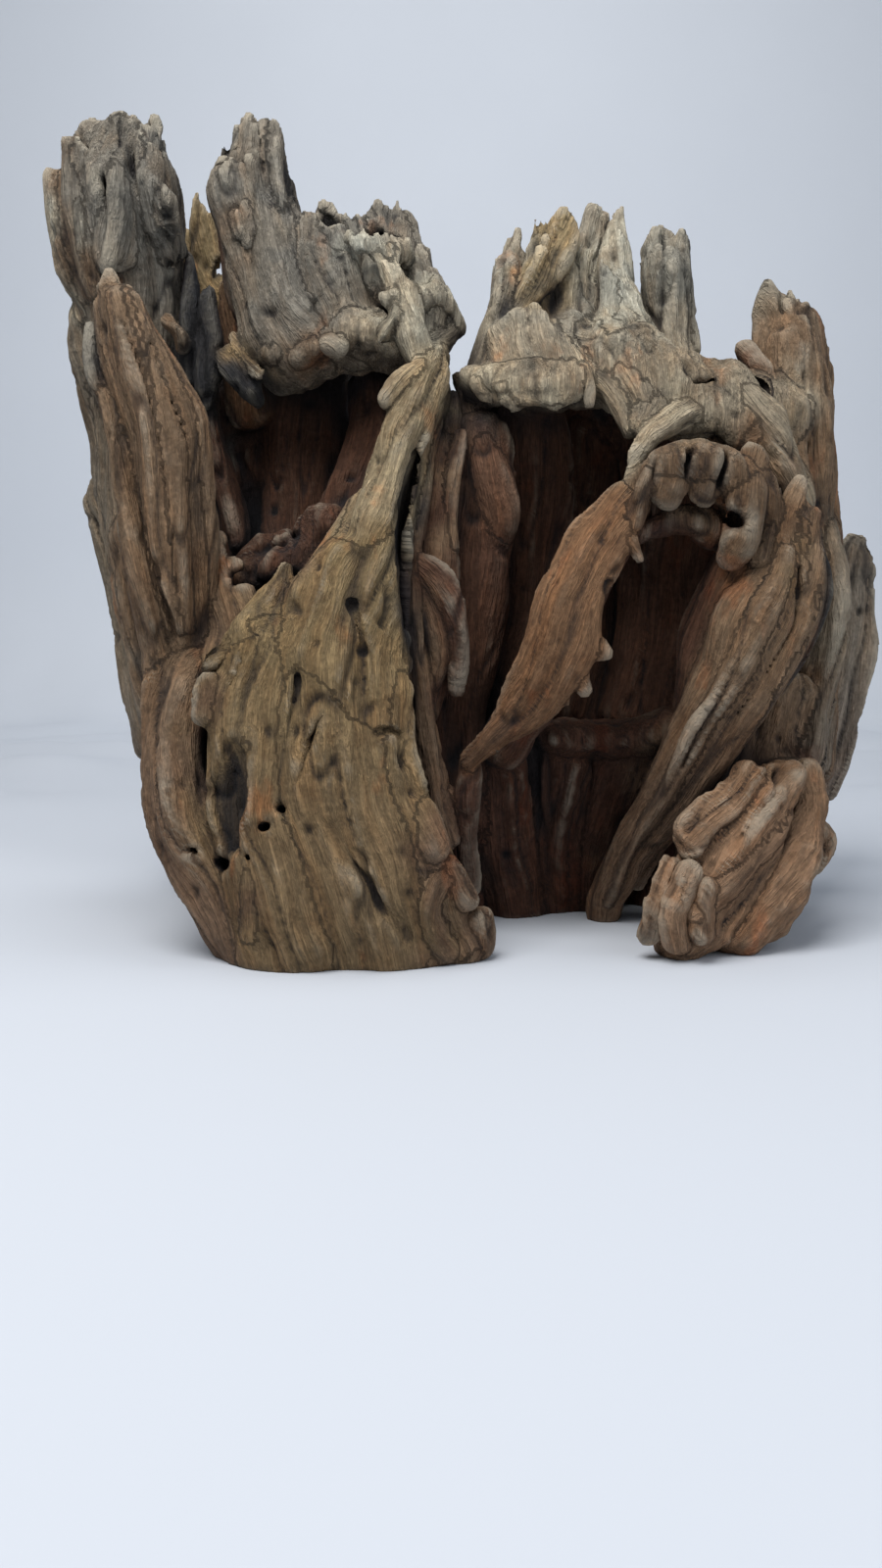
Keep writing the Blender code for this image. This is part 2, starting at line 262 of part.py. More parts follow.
def hollows():
    """The hollows that are cut: both craters, the shelf hole, the burrow, the dent, the crest gap."""
    return {
        "crater_left": (FRONT, [(-4.6, 0, 29.4, 0.4, 0.4), (-4.6, -1, 30.3, 0.6, 0.5), (-4.6, -2, 31.2, 0.8, 0.6)]),
        "crater_right": (FRONT, [(-2.4, 0, 28.8, 0.4, 0.4), (-2.4, -1, 29.8, 0.8, 0.5), (-2.4, -2.2, 30.9, 1, 0.7)]),
        "shelf_hole": ((0, -0.7, 0.7), [(-8.6, -4.6, 15.4, 0.4, 0.5), (-7.8, -4.2, 15.8, 0.5, 0.6),
                                        (-7.0, -4.2, 16, 0.4, 0.5)]),
        "beetle_burrow": (UP, [(11.5, -8.6, 16.8, 0.4, 0.4), (11.4, -6, 16.9, 0.4, 0.4)]),
        "apron_dent": (FRONT, [(-7.6, -10.4, 7.6, 0.6, 0.6), (-7.9, -10.6, 6.2, 1, 0.8), (-8, -10.6, 5.1, 0.8, 0.6)]),
        "crest_gap": (FRONT, [(8.7, -3.1, 25.8, 0.2, 0.6), (9.0, -3.7, 24.5, 0.2, 0.6), (9.6, -4.4, 23, 0.2, 0.6)]),
    }


def curve_through(stations):
    """Points of a smooth curve through the stations, STEPS to each gap between them."""
    points = [Vector(station) for station in stations]
    padded = [2 * points[0] - points[1]] + points + [2 * points[-1] - points[-2]]
    curve = []
    for before, start, end, after in zip(padded, padded[1:], padded[2:], padded[3:]):
        for step in range(STEPS):
            t = step / STEPS
            curve.append(0.5 * (2 * start + (end - before) * t
                                + (2 * before - 5 * start + 4 * end - after) * t ** 2
                                + (3 * start - before - 3 * end + after) * t ** 3))
    curve.append(points[-1])
    return curve


def loft(bm, facing, stations):
    """Add one spine to the mesh: oval sections along a smooth curve, with rounded ends."""
    curve = curve_through(stations)
    places = [Vector(point[:3]) for point in curve]
    sections = []
    for index, point in enumerate(curve):
        ahead = places[min(index + 1, len(places) - 1)]
        behind = places[max(index - 1, 0)]
        along = (ahead - behind).normalized()
        thin = Vector(facing)
        thin = (thin - thin.dot(along) * along).normalized()
        sections.append((places[index], along, along.cross(thin), thin, point[3], point[4]))
    rings = []
    for end, outward in ((sections[0], -1), (sections[-1], 1)):
        place, along, wide, thin, width, thickness = end
        reach = min(width, thickness)
        caps = []
        for angle in (math.radians(65), math.radians(35)):
            centre = place + along * outward * reach * math.sin(angle)
            shrink = math.cos(angle)
            caps.append((centre, along, wide, thin, width * shrink, thickness * shrink))
        if outward < 0:
            rings = caps + sections
        else:
            rings = rings + caps[::-1]
    loops = []
    for place, along, wide, thin, width, thickness in rings:
        loop = []
        for corner in range(SIDES):
            angle = 2 * math.pi * corner / SIDES
            offset = wide * width * math.cos(angle) + thin * thickness * math.sin(angle)
            loop.append(bm.verts.new((place + offset) * GRID))
        loops.append(loop)
    for lower, upper in zip(loops, loops[1:]):
        for corner in range(SIDES):
            following = (corner + 1) % SIDES
            bm.faces.new((lower[corner], lower[following], upper[following], upper[corner]))
    bm.faces.new(loops[0][::-1])
    bm.faces.new(loops[-1])


def spine_object(name, spines, collection):
    """One object that holds the given spines as closed tubes."""
    bm = bmesh.new()
    for facing, stations in spines:
        loft(bm, facing, stations)
    bmesh.ops.recalc_face_normals(bm, faces=bm.faces)
    mesh = bpy.data.meshes.new(name)
    bm.to_mesh(mesh)
    bm.free()
    piece = bpy.data.objects.new(name, mesh)
    collection.objects.link(piece)
    return piece


def evaluated_mesh(piece):
    """The mesh of an object with its modifiers worked out."""
    bpy.context.view_layer.update()
    return bpy.data.meshes.new_from_object(piece.evaluated_get(bpy.context.evaluated_depsgraph_get()))


def keep_largest_shell(mesh):
    """Delete the closed pockets inside the fused body, and anything that floats free."""
    bm = bmesh.new()
    bm.from_mesh(mesh)
    unseen = set(bm.verts)
    shells = []
    while unseen:
        shell = {unseen.pop()}
        edge_of_search = list(shell)
        while edge_of_search:
            vertex = edge_of_search.pop()
            for edge in vertex.link_edges:
                other = edge.other_vert(vertex)
                if other in unseen:
                    unseen.remove(other)
                    shell.add(other)
                    edge_of_search.append(other)
        shells.append(shell)
    largest = max(shells, key=len)
    spare = [vertex for vertex in bm.verts if vertex not in largest]
    bmesh.ops.delete(bm, geom=spare, context="VERTS")
    bm.to_mesh(mesh)
    bm.free()


def fuse(body):
    """Fuse the overlapping spines into one skin and soften the creases between them."""
    remesh = body.modifiers.new("Fuse", "REMESH")
    remesh.mode = "VOXEL"
    remesh.voxel_size = VOXEL
    soften = body.modifiers.new("Soften", "SMOOTH")
    soften.factor = 0.5
    soften.iterations = SOFTENING
    fused = evaluated_mesh(body)
    body.modifiers.clear()
    keep_largest_shell(fused)
    body.data = fused


def thin_out(body):
    """Collapse the fused skin to about FACETS triangles."""
    triangles = sum(len(face.vertices) - 2 for face in body.data.polygons)
    collapse = body.modifiers.new("Thin out", "DECIMATE")
    collapse.ratio = FACETS / triangles
    collapse.use_collapse_triangulate = True
    body.data = evaluated_mesh(body)
    body.modifiers.clear()


def cut(body, cutter):
    """Take the cutter away from the body."""
    cutter.hide_render = True
    cutter.display_type = "WIRE"
    difference = body.modifiers.new("Cut " + cutter.name, "BOOLEAN")
    difference.operation = "DIFFERENCE"
    difference.solver = "EXACT"
    difference.object = cutter


def floor_block(collection):
    """A block whose top is the floor, which trims the feet flat."""
    bm = bmesh.new()
    bmesh.ops.create_cube(bm, size=1.0)
    bmesh.ops.scale(bm, vec=(80 * GRID, 60 * GRID, FLOOR_DEPTH), verts=bm.verts)
    bmesh.ops.translate(bm, vec=(0, 0, -FLOOR_DEPTH / 2), verts=bm.verts)
    mesh = bpy.data.meshes.new("floor_block")
    bm.to_mesh(mesh)
    bm.free()
    block = bpy.data.objects.new("floor_block", mesh)
    collection.objects.link(block)
    return block


def centre_on_base(body, cutters):
    """Put the origin at the middle of the base of the finished body."""
    mesh = evaluated_mesh(body)
    xs = [vertex.co.x for vertex in mesh.vertices]
    ys = [vertex.co.y for vertex in mesh.vertices]
    offset = Vector(((min(xs) + max(xs)) / 2, (min(ys) + max(ys)) / 2, 0))
    for piece in [body, *cutters]:
        for vertex in piece.data.vertices:
            vertex.co -= offset
    bpy.data.meshes.remove(mesh)


def bark_material():
    """Weathered, barkless root wood."""
    material = bpy.data.materials.new("weathered_wood")
    material.use_nodes = True
    shader = material.node_tree.nodes["Principled BSDF"]
    shader.inputs["Base Color"].default_value = BARK_COLOUR
    shader.inputs["Roughness"].default_value = BARK_ROUGHNESS
    shader.inputs["Metallic"].default_value = 0.0
    return material


def main():
    for piece in list(bpy.data.objects):
        bpy.data.objects.remove(piece)
    parts = bpy.data.collections.new(NAME)
    cutters = bpy.data.collections.new("cutters")
    for collection in (parts, cutters):
        bpy.context.scene.collection.children.link(collection)

    spines = (back_of_the_root() + trunk_between() + flanks_and_plates() + left_crest()
              + left_hollow_and_apron() + right_crest() + right_hollow_and_feet())
    body = spine_object(NAME, spines, parts)
    fuse(body)
    thin_out(body)
    body.data.materials.append(bark_material())

    cuts = [spine_object(name, [spine], cutters) for name, spine in hollows().items()]
    cuts.append(floor_block(cutters))
    for cutter in cuts:
        cut(body, cutter)
    centre_on_base(body, cuts)


main()
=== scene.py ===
"""A dry root: one piece of weathered, barkless root wood that stands on its flat-worn base.

The wood is modelled in a block of cells that hold the distance to its surface. Spines with
oval sections are added to it or cut out of it one by one, in grid units of the frame's own
size. The surface of the block becomes the mesh, which then gets splintered ends, fluting
and fibre relief that follow the grain of each spine.
"""

import collections
import math

import bpy
import numpy as np
import openvdb
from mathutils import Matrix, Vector


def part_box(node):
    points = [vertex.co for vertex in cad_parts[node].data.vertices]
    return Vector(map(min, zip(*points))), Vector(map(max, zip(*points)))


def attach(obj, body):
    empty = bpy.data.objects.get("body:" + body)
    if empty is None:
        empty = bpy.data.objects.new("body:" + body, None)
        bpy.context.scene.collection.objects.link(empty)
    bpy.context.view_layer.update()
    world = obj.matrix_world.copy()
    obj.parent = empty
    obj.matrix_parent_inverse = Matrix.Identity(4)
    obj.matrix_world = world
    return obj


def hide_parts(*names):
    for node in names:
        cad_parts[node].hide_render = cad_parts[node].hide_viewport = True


bl_info = {
    "name": "Dry Root",
    "version": (1, 0, 0),
    "blender": (4, 5, 0),
    "location": "3D View > Sidebar > Dry Root",
    "description": "Builds a weathered dry root and a plain studio around it",
    "category": "Object",
}

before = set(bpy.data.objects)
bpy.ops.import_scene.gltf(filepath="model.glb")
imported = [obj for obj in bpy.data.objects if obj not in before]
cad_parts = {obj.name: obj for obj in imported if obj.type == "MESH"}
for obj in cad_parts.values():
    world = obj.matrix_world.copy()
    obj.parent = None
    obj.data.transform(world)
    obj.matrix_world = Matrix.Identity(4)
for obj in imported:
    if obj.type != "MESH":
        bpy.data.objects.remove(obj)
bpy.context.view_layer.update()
LOW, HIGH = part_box("dry_root")

# ---------------------------------------------------------------- grid of the frame
# One grid unit is 1/34.4 of the height. X = 0 is the gap between the two halves, which
# lies 16.7 units from the low side of the box; Y = 0 lies 11.1 units from its front.
UNIT = (HIGH.z - LOW.z) / 34.4
ORIGIN = Vector((LOW.x + 16.715 * UNIT, LOW.y + 11.108 * UNIT, LOW.z))
BLOCK_LOW = (-18.0, -12.6, -0.6)
BLOCK_HIGH = (23.0, 12.6, 35.9)
FAR = 9.0                       # stored in cells that no spine has come near
SLIDE_HEIGHTS = (20, 29)        # the fibres begin to slide at the first height and slide fully at the second
JAG_HEIGHTS = (25, 29)          # the same for the fine jags of the crests

FRONT = (0, -1, 0)
BACK = (0, 1, 0)
UP = (0, 0, 1)
MOUTH = (0, -1, -0.6)


def place(x, y, z):
    """A grid point in metres, in the frame."""
    return ORIGIN + Vector((x, y, z)) * UNIT


# ---------------------------------------------------------------- noise
NOISE_GAIN = 1.6
SEED_START = 100.5
SEED_STEP = 17.31
RANDOM = np.random.default_rng(7)
SHUFFLE = np.tile(RANDOM.permutation(256).astype(np.int32), 3)
SLOPES = RANDOM.normal(size=(256, 3)).astype(np.float32)
SLOPES /= np.linalg.norm(SLOPES, axis=1, keepdims=True)


def noise(points, seed):
    """Smooth noise of about -1 to 1 at each of the points."""
    points = np.asarray(points, np.float32) + np.float32(seed * SEED_STEP + SEED_START)
    corner = np.floor(points).astype(np.int32)
    part = points - corner
    corner &= 255
    ease = part ** 3 * (part * (part * 6 - 15) + 10)
    total = np.zeros(len(points), np.float32)
    for dx in (0, 1):
        weight_x = ease[:, 0] if dx else 1 - ease[:, 0]
        hash_x = SHUFFLE[corner[:, 0] + dx]
        for dy in (0, 1):
            weight_y = ease[:, 1] if dy else 1 - ease[:, 1]
            hash_y = SHUFFLE[(hash_x + corner[:, 1] + dy) & 255]
            for dz in (0, 1):
                weight_z = ease[:, 2] if dz else 1 - ease[:, 2]
                slope = SLOPES[SHUFFLE[(hash_y + corner[:, 2] + dz) & 255]]
                rise = (slope[:, 0] * (part[:, 0] - dx) + slope[:, 1] * (part[:, 1] - dy)
                        + slope[:, 2] * (part[:, 2] - dz))
                total += weight_x * weight_y * weight_z * rise
    return total * NOISE_GAIN


def ease_between(low, high, values):
    """0 below low, 1 above high, and a smooth step between."""
    share = np.clip((values - low) / (high - low), 0, 1)
    return share * share * (3 - 2 * share)


# ---------------------------------------------------------------- spines
Spine = collections.namedtuple("Spine", "tone facing stations gnarl soft furrows")


def curve_through(stations, step):
    """A smooth curve through the stations, with a point about every step."""
    given = np.array(stations, float)
    padded = np.vstack([2 * given[0] - given[1], given, 2 * given[-1] - given[-2]])
    pieces = []
    for index in range(len(given) - 1):
        before, start, end, after = padded[index:index + 4]
        count = max(1, int(np.ceil(np.linalg.norm((end - start)[:3]) / step)))
        t = np.arange(count)[:, None] / count
        pieces.append(0.5 * (2 * start + (end - before) * t
                             + (2 * before - 5 * start + 4 * end - after) * t ** 2
                             + (3 * start - before - 3 * end + after) * t ** 3))
    pieces.append(given[-1:])
    curve = np.vstack(pieces)
    curve[:, 3:] = np.maximum(curve[:, 3:], 0.03)
    return curve


def frames_along(points, facing):
    """Along, thin and wide directions at each point of a curve."""
    along = np.gradient(points, axis=0)
    along /= np.linalg.norm(along, axis=1, keepdims=True) + 1e-12
    facing = np.asarray(facing, float)
    thin = facing - (along * facing).sum(1, keepdims=True) * along
    thin /= np.linalg.norm(thin, axis=1, keepdims=True) + 1e-12
    return along, thin, np.cross(along, thin)


class Wood:
    """A block of cells that holds the distance to the surface, negative inside the wood."""

    def __init__(self, cell):
        self.cell = cell
        self.low = np.array(BLOCK_LOW)
        self.count = np.ceil((np.array(BLOCK_HIGH) - self.low) / cell).astype(int) + 1
        self.distance = np.full(self.count, FAR, np.float32)
        self.uncut = np.full(self.count, FAR, np.float32)
        self.owner = np.full(self.count, -1, np.int16)
        self.spines = []
        self.gnarl = 0.0
        self.softness = 1.0
        self.furrows = 1.0

    def window(self, low, high):
        """First and last cell of a box, kept inside the block."""
        first = np.clip(np.floor((low - self.low) / self.cell).astype(int), 0, self.count)
        last = np.clip(np.ceil((high - self.low) / self.cell).astype(int) + 1, 0, self.count)
        return first, last

    def distance_to(self, stations, facing, blend):
        """Distance to one spine in the cells around it, and where those cells are."""
        slim = min(min(station[3], station[4]) for station in stations)
        curve = curve_through(stations, max(0.35, 0.5 * slim))
        points, sizes = curve[:, :3], curve[:, 3:]
        along, thin, wide = frames_along(points, facing)
        reach = sizes.max(1)[:, None] + max(blend, 3 * self.cell) + 0.2
        first, last = self.window((points - reach).min(0), (points + reach).max(0))
        block = np.full(np.maximum(last - first, 0), FAR, np.float32)
        for i in range(len(points) - 1):
            low = np.minimum(points[i] - reach[i], points[i + 1] - reach[i + 1])
            high = np.maximum(points[i] + reach[i], points[i + 1] + reach[i + 1])
            start, stop = self.window(low, high)
            if (stop <= start).any():
                continue
            axes = [(self.low[k] + self.cell * np.arange(start[k], stop[k])).astype(np.float32)
                    for k in range(3)]
            x, y, z = np.meshgrid(*axes, indexing="ij", sparse=True)
            run = (points[i + 1] - points[i]).astype(np.float32)
            px, py, pz = x - points[i][0], y - points[i][1], z - points[i][2]
            share = (px * run[0] + py * run[1] + pz * run[2]) / (float(run @ run) + 1e-9)
            share = np.clip(share, 0, 1)
            qx, qy, qz = px - share * run[0], py - share * run[1], pz - share * run[2]
            width = sizes[i][0] + share * (sizes[i + 1][0] - sizes[i][0])
            thick = sizes[i][1] + share * (sizes[i + 1][1] - sizes[i][1])
            least = np.minimum(width, thick)
            a, b, c = ((d[i] + d[i + 1]) / 2 for d in (wide, thin, along))
            u = (qx * a[0] + qy * a[1] + qz * a[2]) / width
            v = (qx * b[0] + qy * b[1] + qz * b[2]) / thick
            w = (qx * c[0] + qy * c[1] + qz * c[2]) / least
            scaled = np.sqrt(u * u + v * v + w * w) + 1e-6
            slope = np.sqrt((u / width) ** 2 + (v / thick) ** 2 + (w / least) ** 2) + 1e-6
            inner = tuple(slice(start[k] - first[k], stop[k] - first[k]) for k in range(3))
            np.minimum(block[inner], scaled * (scaled - 1) / slope, out=block[inner])
        return block, tuple(slice(first[k], last[k]) for k in range(3))

    def add(self, tone, blend, *stations, facing=FRONT):
        """Add a spine of the given tone, melted into the wood over the blend."""
        blend = blend * self.softness
        index = len(self.spines)
        self.spines.append(Spine(tone, facing, stations, self.gnarl, min(1, 3 * blend), self.furrows))
        block, cells = self.distance_to(stations, facing, blend)
        self.owner[cells][block < self.uncut[cells]] = index
        for field in (self.distance, self.uncut):
            melt = np.maximum(blend - np.abs(field[cells] - block), 0) / blend
            field[cells] = np.minimum(field[cells], block) - melt * melt * blend / 4

    def cut(self, blend, *stations, facing=FRONT):
        """Cut a spine out of the wood."""
        block, cells = self.distance_to(stations, facing, blend)
        melt = np.maximum(blend - np.abs(self.distance[cells] + block), 0) / blend
        self.distance[cells] = np.maximum(self.distance[cells], -block) + melt * melt * blend / 4

    def splinter(self, length):
        """Slide each fibre of the wood up or down a little, so that ends and rims break up."""
        x, y = np.meshgrid(*(self.low[k] + self.cell * np.arange(self.count[k]) for k in (0, 1)),
                           indexing="ij")
        flat = np.stack([x.ravel(), y.ravel(), np.zeros(x.size)], 1)
        slide = (0.8 * noise(flat * 0.9, 31) + 0.5 * noise(flat * 2.2, 32) - 1.0) * length
        z = self.low[2] + self.cell * np.arange(self.count[2])
        jags = 0.4 * noise(flat * 4.3, 33) * length
        shift = (slide[:, None] * ease_between(*SLIDE_HEIGHTS, z)[None, :]
                 + jags[:, None] * ease_between(*JAG_HEIGHTS, z)[None, :])
        place_in_column = np.arange(self.count[2])[None, :] - shift / self.cell
        place_in_column = np.clip(place_in_column, 0, self.count[2] - 1.001)
        lower = place_in_column.astype(np.int64)
        part = (place_in_column - lower).astype(np.float32)
        for field in (self.distance, self.uncut):
            columns = field.reshape(-1, self.count[2])
            moved = (np.take_along_axis(columns, lower, 1) * (1 - part)
                     + np.take_along_axis(columns, lower + 1, 1) * part)
            field[...] = moved.reshape(field.shape)
        owners = self.owner.reshape(-1, self.count[2])
        self.owner = np.take_along_axis(owners, lower, 1).reshape(self.owner.shape)

    def flute(self, depth):
        """Press long upright flutes and shallow knots into the surface."""
        band = np.nonzero(np.abs(self.distance) < 0.55)
        points = np.stack([self.low[k] + self.cell * band[k] for k in range(3)], 1)
        press = (0.7 * noise(points * (0.36, 0.36, 0.09), 1) + 0.4 * noise(points * (0.8, 0.8, 0.14), 2))
        self.distance[band] += (press * depth).astype(np.float32)

    def stand_flat(self):
        """Cut the wood off flat at the floor."""
        z = (self.low[2] + self.cell * np.arange(self.count[2])).astype(np.float32)
        np.maximum(self.distance, -z[None, None, :], out=self.distance)

    def skin(self):
        """The points and four-sided faces of the surface, of the largest shell alone."""
        reach = 3 * self.cell
        grid = openvdb.FloatGrid(reach)
        grid.copyFromArray(np.clip(self.distance, -reach, reach).astype(np.float32))
        points, faces = grid.convertToQuads(0.0)
        return largest_shell(points * self.cell + self.low, faces.astype(np.int64))

    def crowding(self, points, reach):
        """Share of wood in a box of the given half size around each of the points."""
        step = max(1, round(0.4 / self.cell))
        share = (self.distance[::step, ::step, ::step] < 0).astype(np.float32)
        half = round(reach / (step * self.cell))
        for axis in range(3):
            margin = [(half + 1, half) if k == axis else (0, 0) for k in range(3)]
            total = np.cumsum(np.pad(share, margin), axis)
            length = share.shape[axis]
            share = (np.take(total, range(2 * half + 1, 2 * half + 1 + length), axis)
                     - np.take(total, range(length), axis)) / (2 * half + 1)
        cell = np.round((points - self.low) / (step * self.cell)).astype(int)
        cell = np.clip(cell, 0, np.array(share.shape) - 1)
        return share[cell[:, 0], cell[:, 1], cell[:, 2]]

    def at(self, field, points):
        """The value of a field in the cell nearest to each point."""
        cell = np.round((points - self.low) / self.cell).astype(int)
        cell = np.clip(cell, 0, self.count - 1)
        return field[cell[:, 0], cell[:, 1], cell[:, 2]]


# ---------------------------------------------------------------- mesh arrays
def edges_of(faces):
    """Each edge of the faces in both directions."""
    edges = np.concatenate([faces[:, [k, (k + 1) % 4]] for k in range(4)])
    return np.concatenate([edges, edges[:, ::-1]])


def largest_shell(points, faces):
    """Drop every loose shell but the one with the most points."""
    label = np.arange(len(points))
    edges = edges_of(faces)
    while True:
        lowest = np.minimum(label[edges[:, 0]], label[edges[:, 1]])
        spread = label.copy()
        np.minimum.at(spread, edges[:, 0], lowest)
        spread = spread[spread]
        if (spread == label).all():
            break
        label = spread
    shells, sizes = np.unique(label, return_counts=True)
    kept = label == shells[sizes.argmax()]
    index = np.cumsum(kept) - 1
    return points[kept], index[faces[kept[faces[:, 0]]]]


def normals_of(points, faces):
    """The unit normal at each point."""
    cross = np.cross(points[faces[:, 2]] - points[faces[:, 0]], points[faces[:, 3]] - points[faces[:, 1]])
    total = np.stack([sum(np.bincount(faces[:, k], cross[:, axis], len(points)) for k in range(4))
                      for axis in range(3)], 1)
    return total / (np.linalg.norm(total, axis=1, keepdims=True) + 1e-12)


class Smoother:
    """Averages values over the neighbours of each point."""

    def __init__(self, faces, count):
        edges = np.concatenate([faces[:, [k, (k + 1) % 4]] for k in range(4)])
        self.here, self.there = edges[:, 0], edges[:, 1]
        self.count = count
        self.links = np.maximum(np.bincount(self.here, minlength=count)
                                + np.bincount(self.there, minlength=count), 1)

    def __call__(self, values, times):
        columns = values.reshape(self.count, -1).astype(float)
        for _ in range(times):
            columns = np.stack([(np.bincount(self.here, columns[self.there, k], self.count)
                                 + np.bincount(self.there, columns[self.here, k], self.count))
                                / self.links for k in range(columns.shape[1])], 1)
        return columns.reshape(values.shape)


def grain_of(points, owners, spines):
    """Place along, across and through the spine that each point belongs to.

    A spine that lies flat keeps upright grain, because the root's fibres run up through it.
    """
    grain = np.zeros((len(points), 3))
    for index in np.unique(owners[owners >= 0]):
        chosen = np.nonzero(owners == index)[0]
        curve = curve_through(spines[index].stations, 0.8)
        spine = curve[:, :3]
        _, thin, wide = frames_along(spine, spines[index].facing)
        run = np.concatenate([[0], np.cumsum(np.linalg.norm(np.diff(spine, axis=0), axis=1))])
        nearest = np.full(len(chosen), 1e9)
        here = points[chosen]
        if abs(spine[-1][2] - spine[0][2]) < 0.45 * run[-1]:
            grain[chosen] = here[:, (2, 0, 1)]
            continue
        for i in range(len(spine) - 1):
            step = spine[i + 1] - spine[i]
            share = np.clip((here - spine[i]) @ step / (step @ step + 1e-9), 0, 1)[:, None]
            off = here - spine[i] - share * step
            a = wide[i] + share * (wide[i + 1] - wide[i])
            b = thin[i] + share * (thin[i + 1] - thin[i])
            far = (off ** 2).sum(1)
            closer = far < nearest
            nearest[closer] = far[closer]
            values = np.stack([run[i] + share[:, 0] * (run[i + 1] - run[i]),
                               (off * a).sum(1), (off * b).sum(1)], 1)
            grain[chosen[closer]] = values[closer]
        grain[chosen] += (0, index * 3.7, index * 1.9)
    return grain


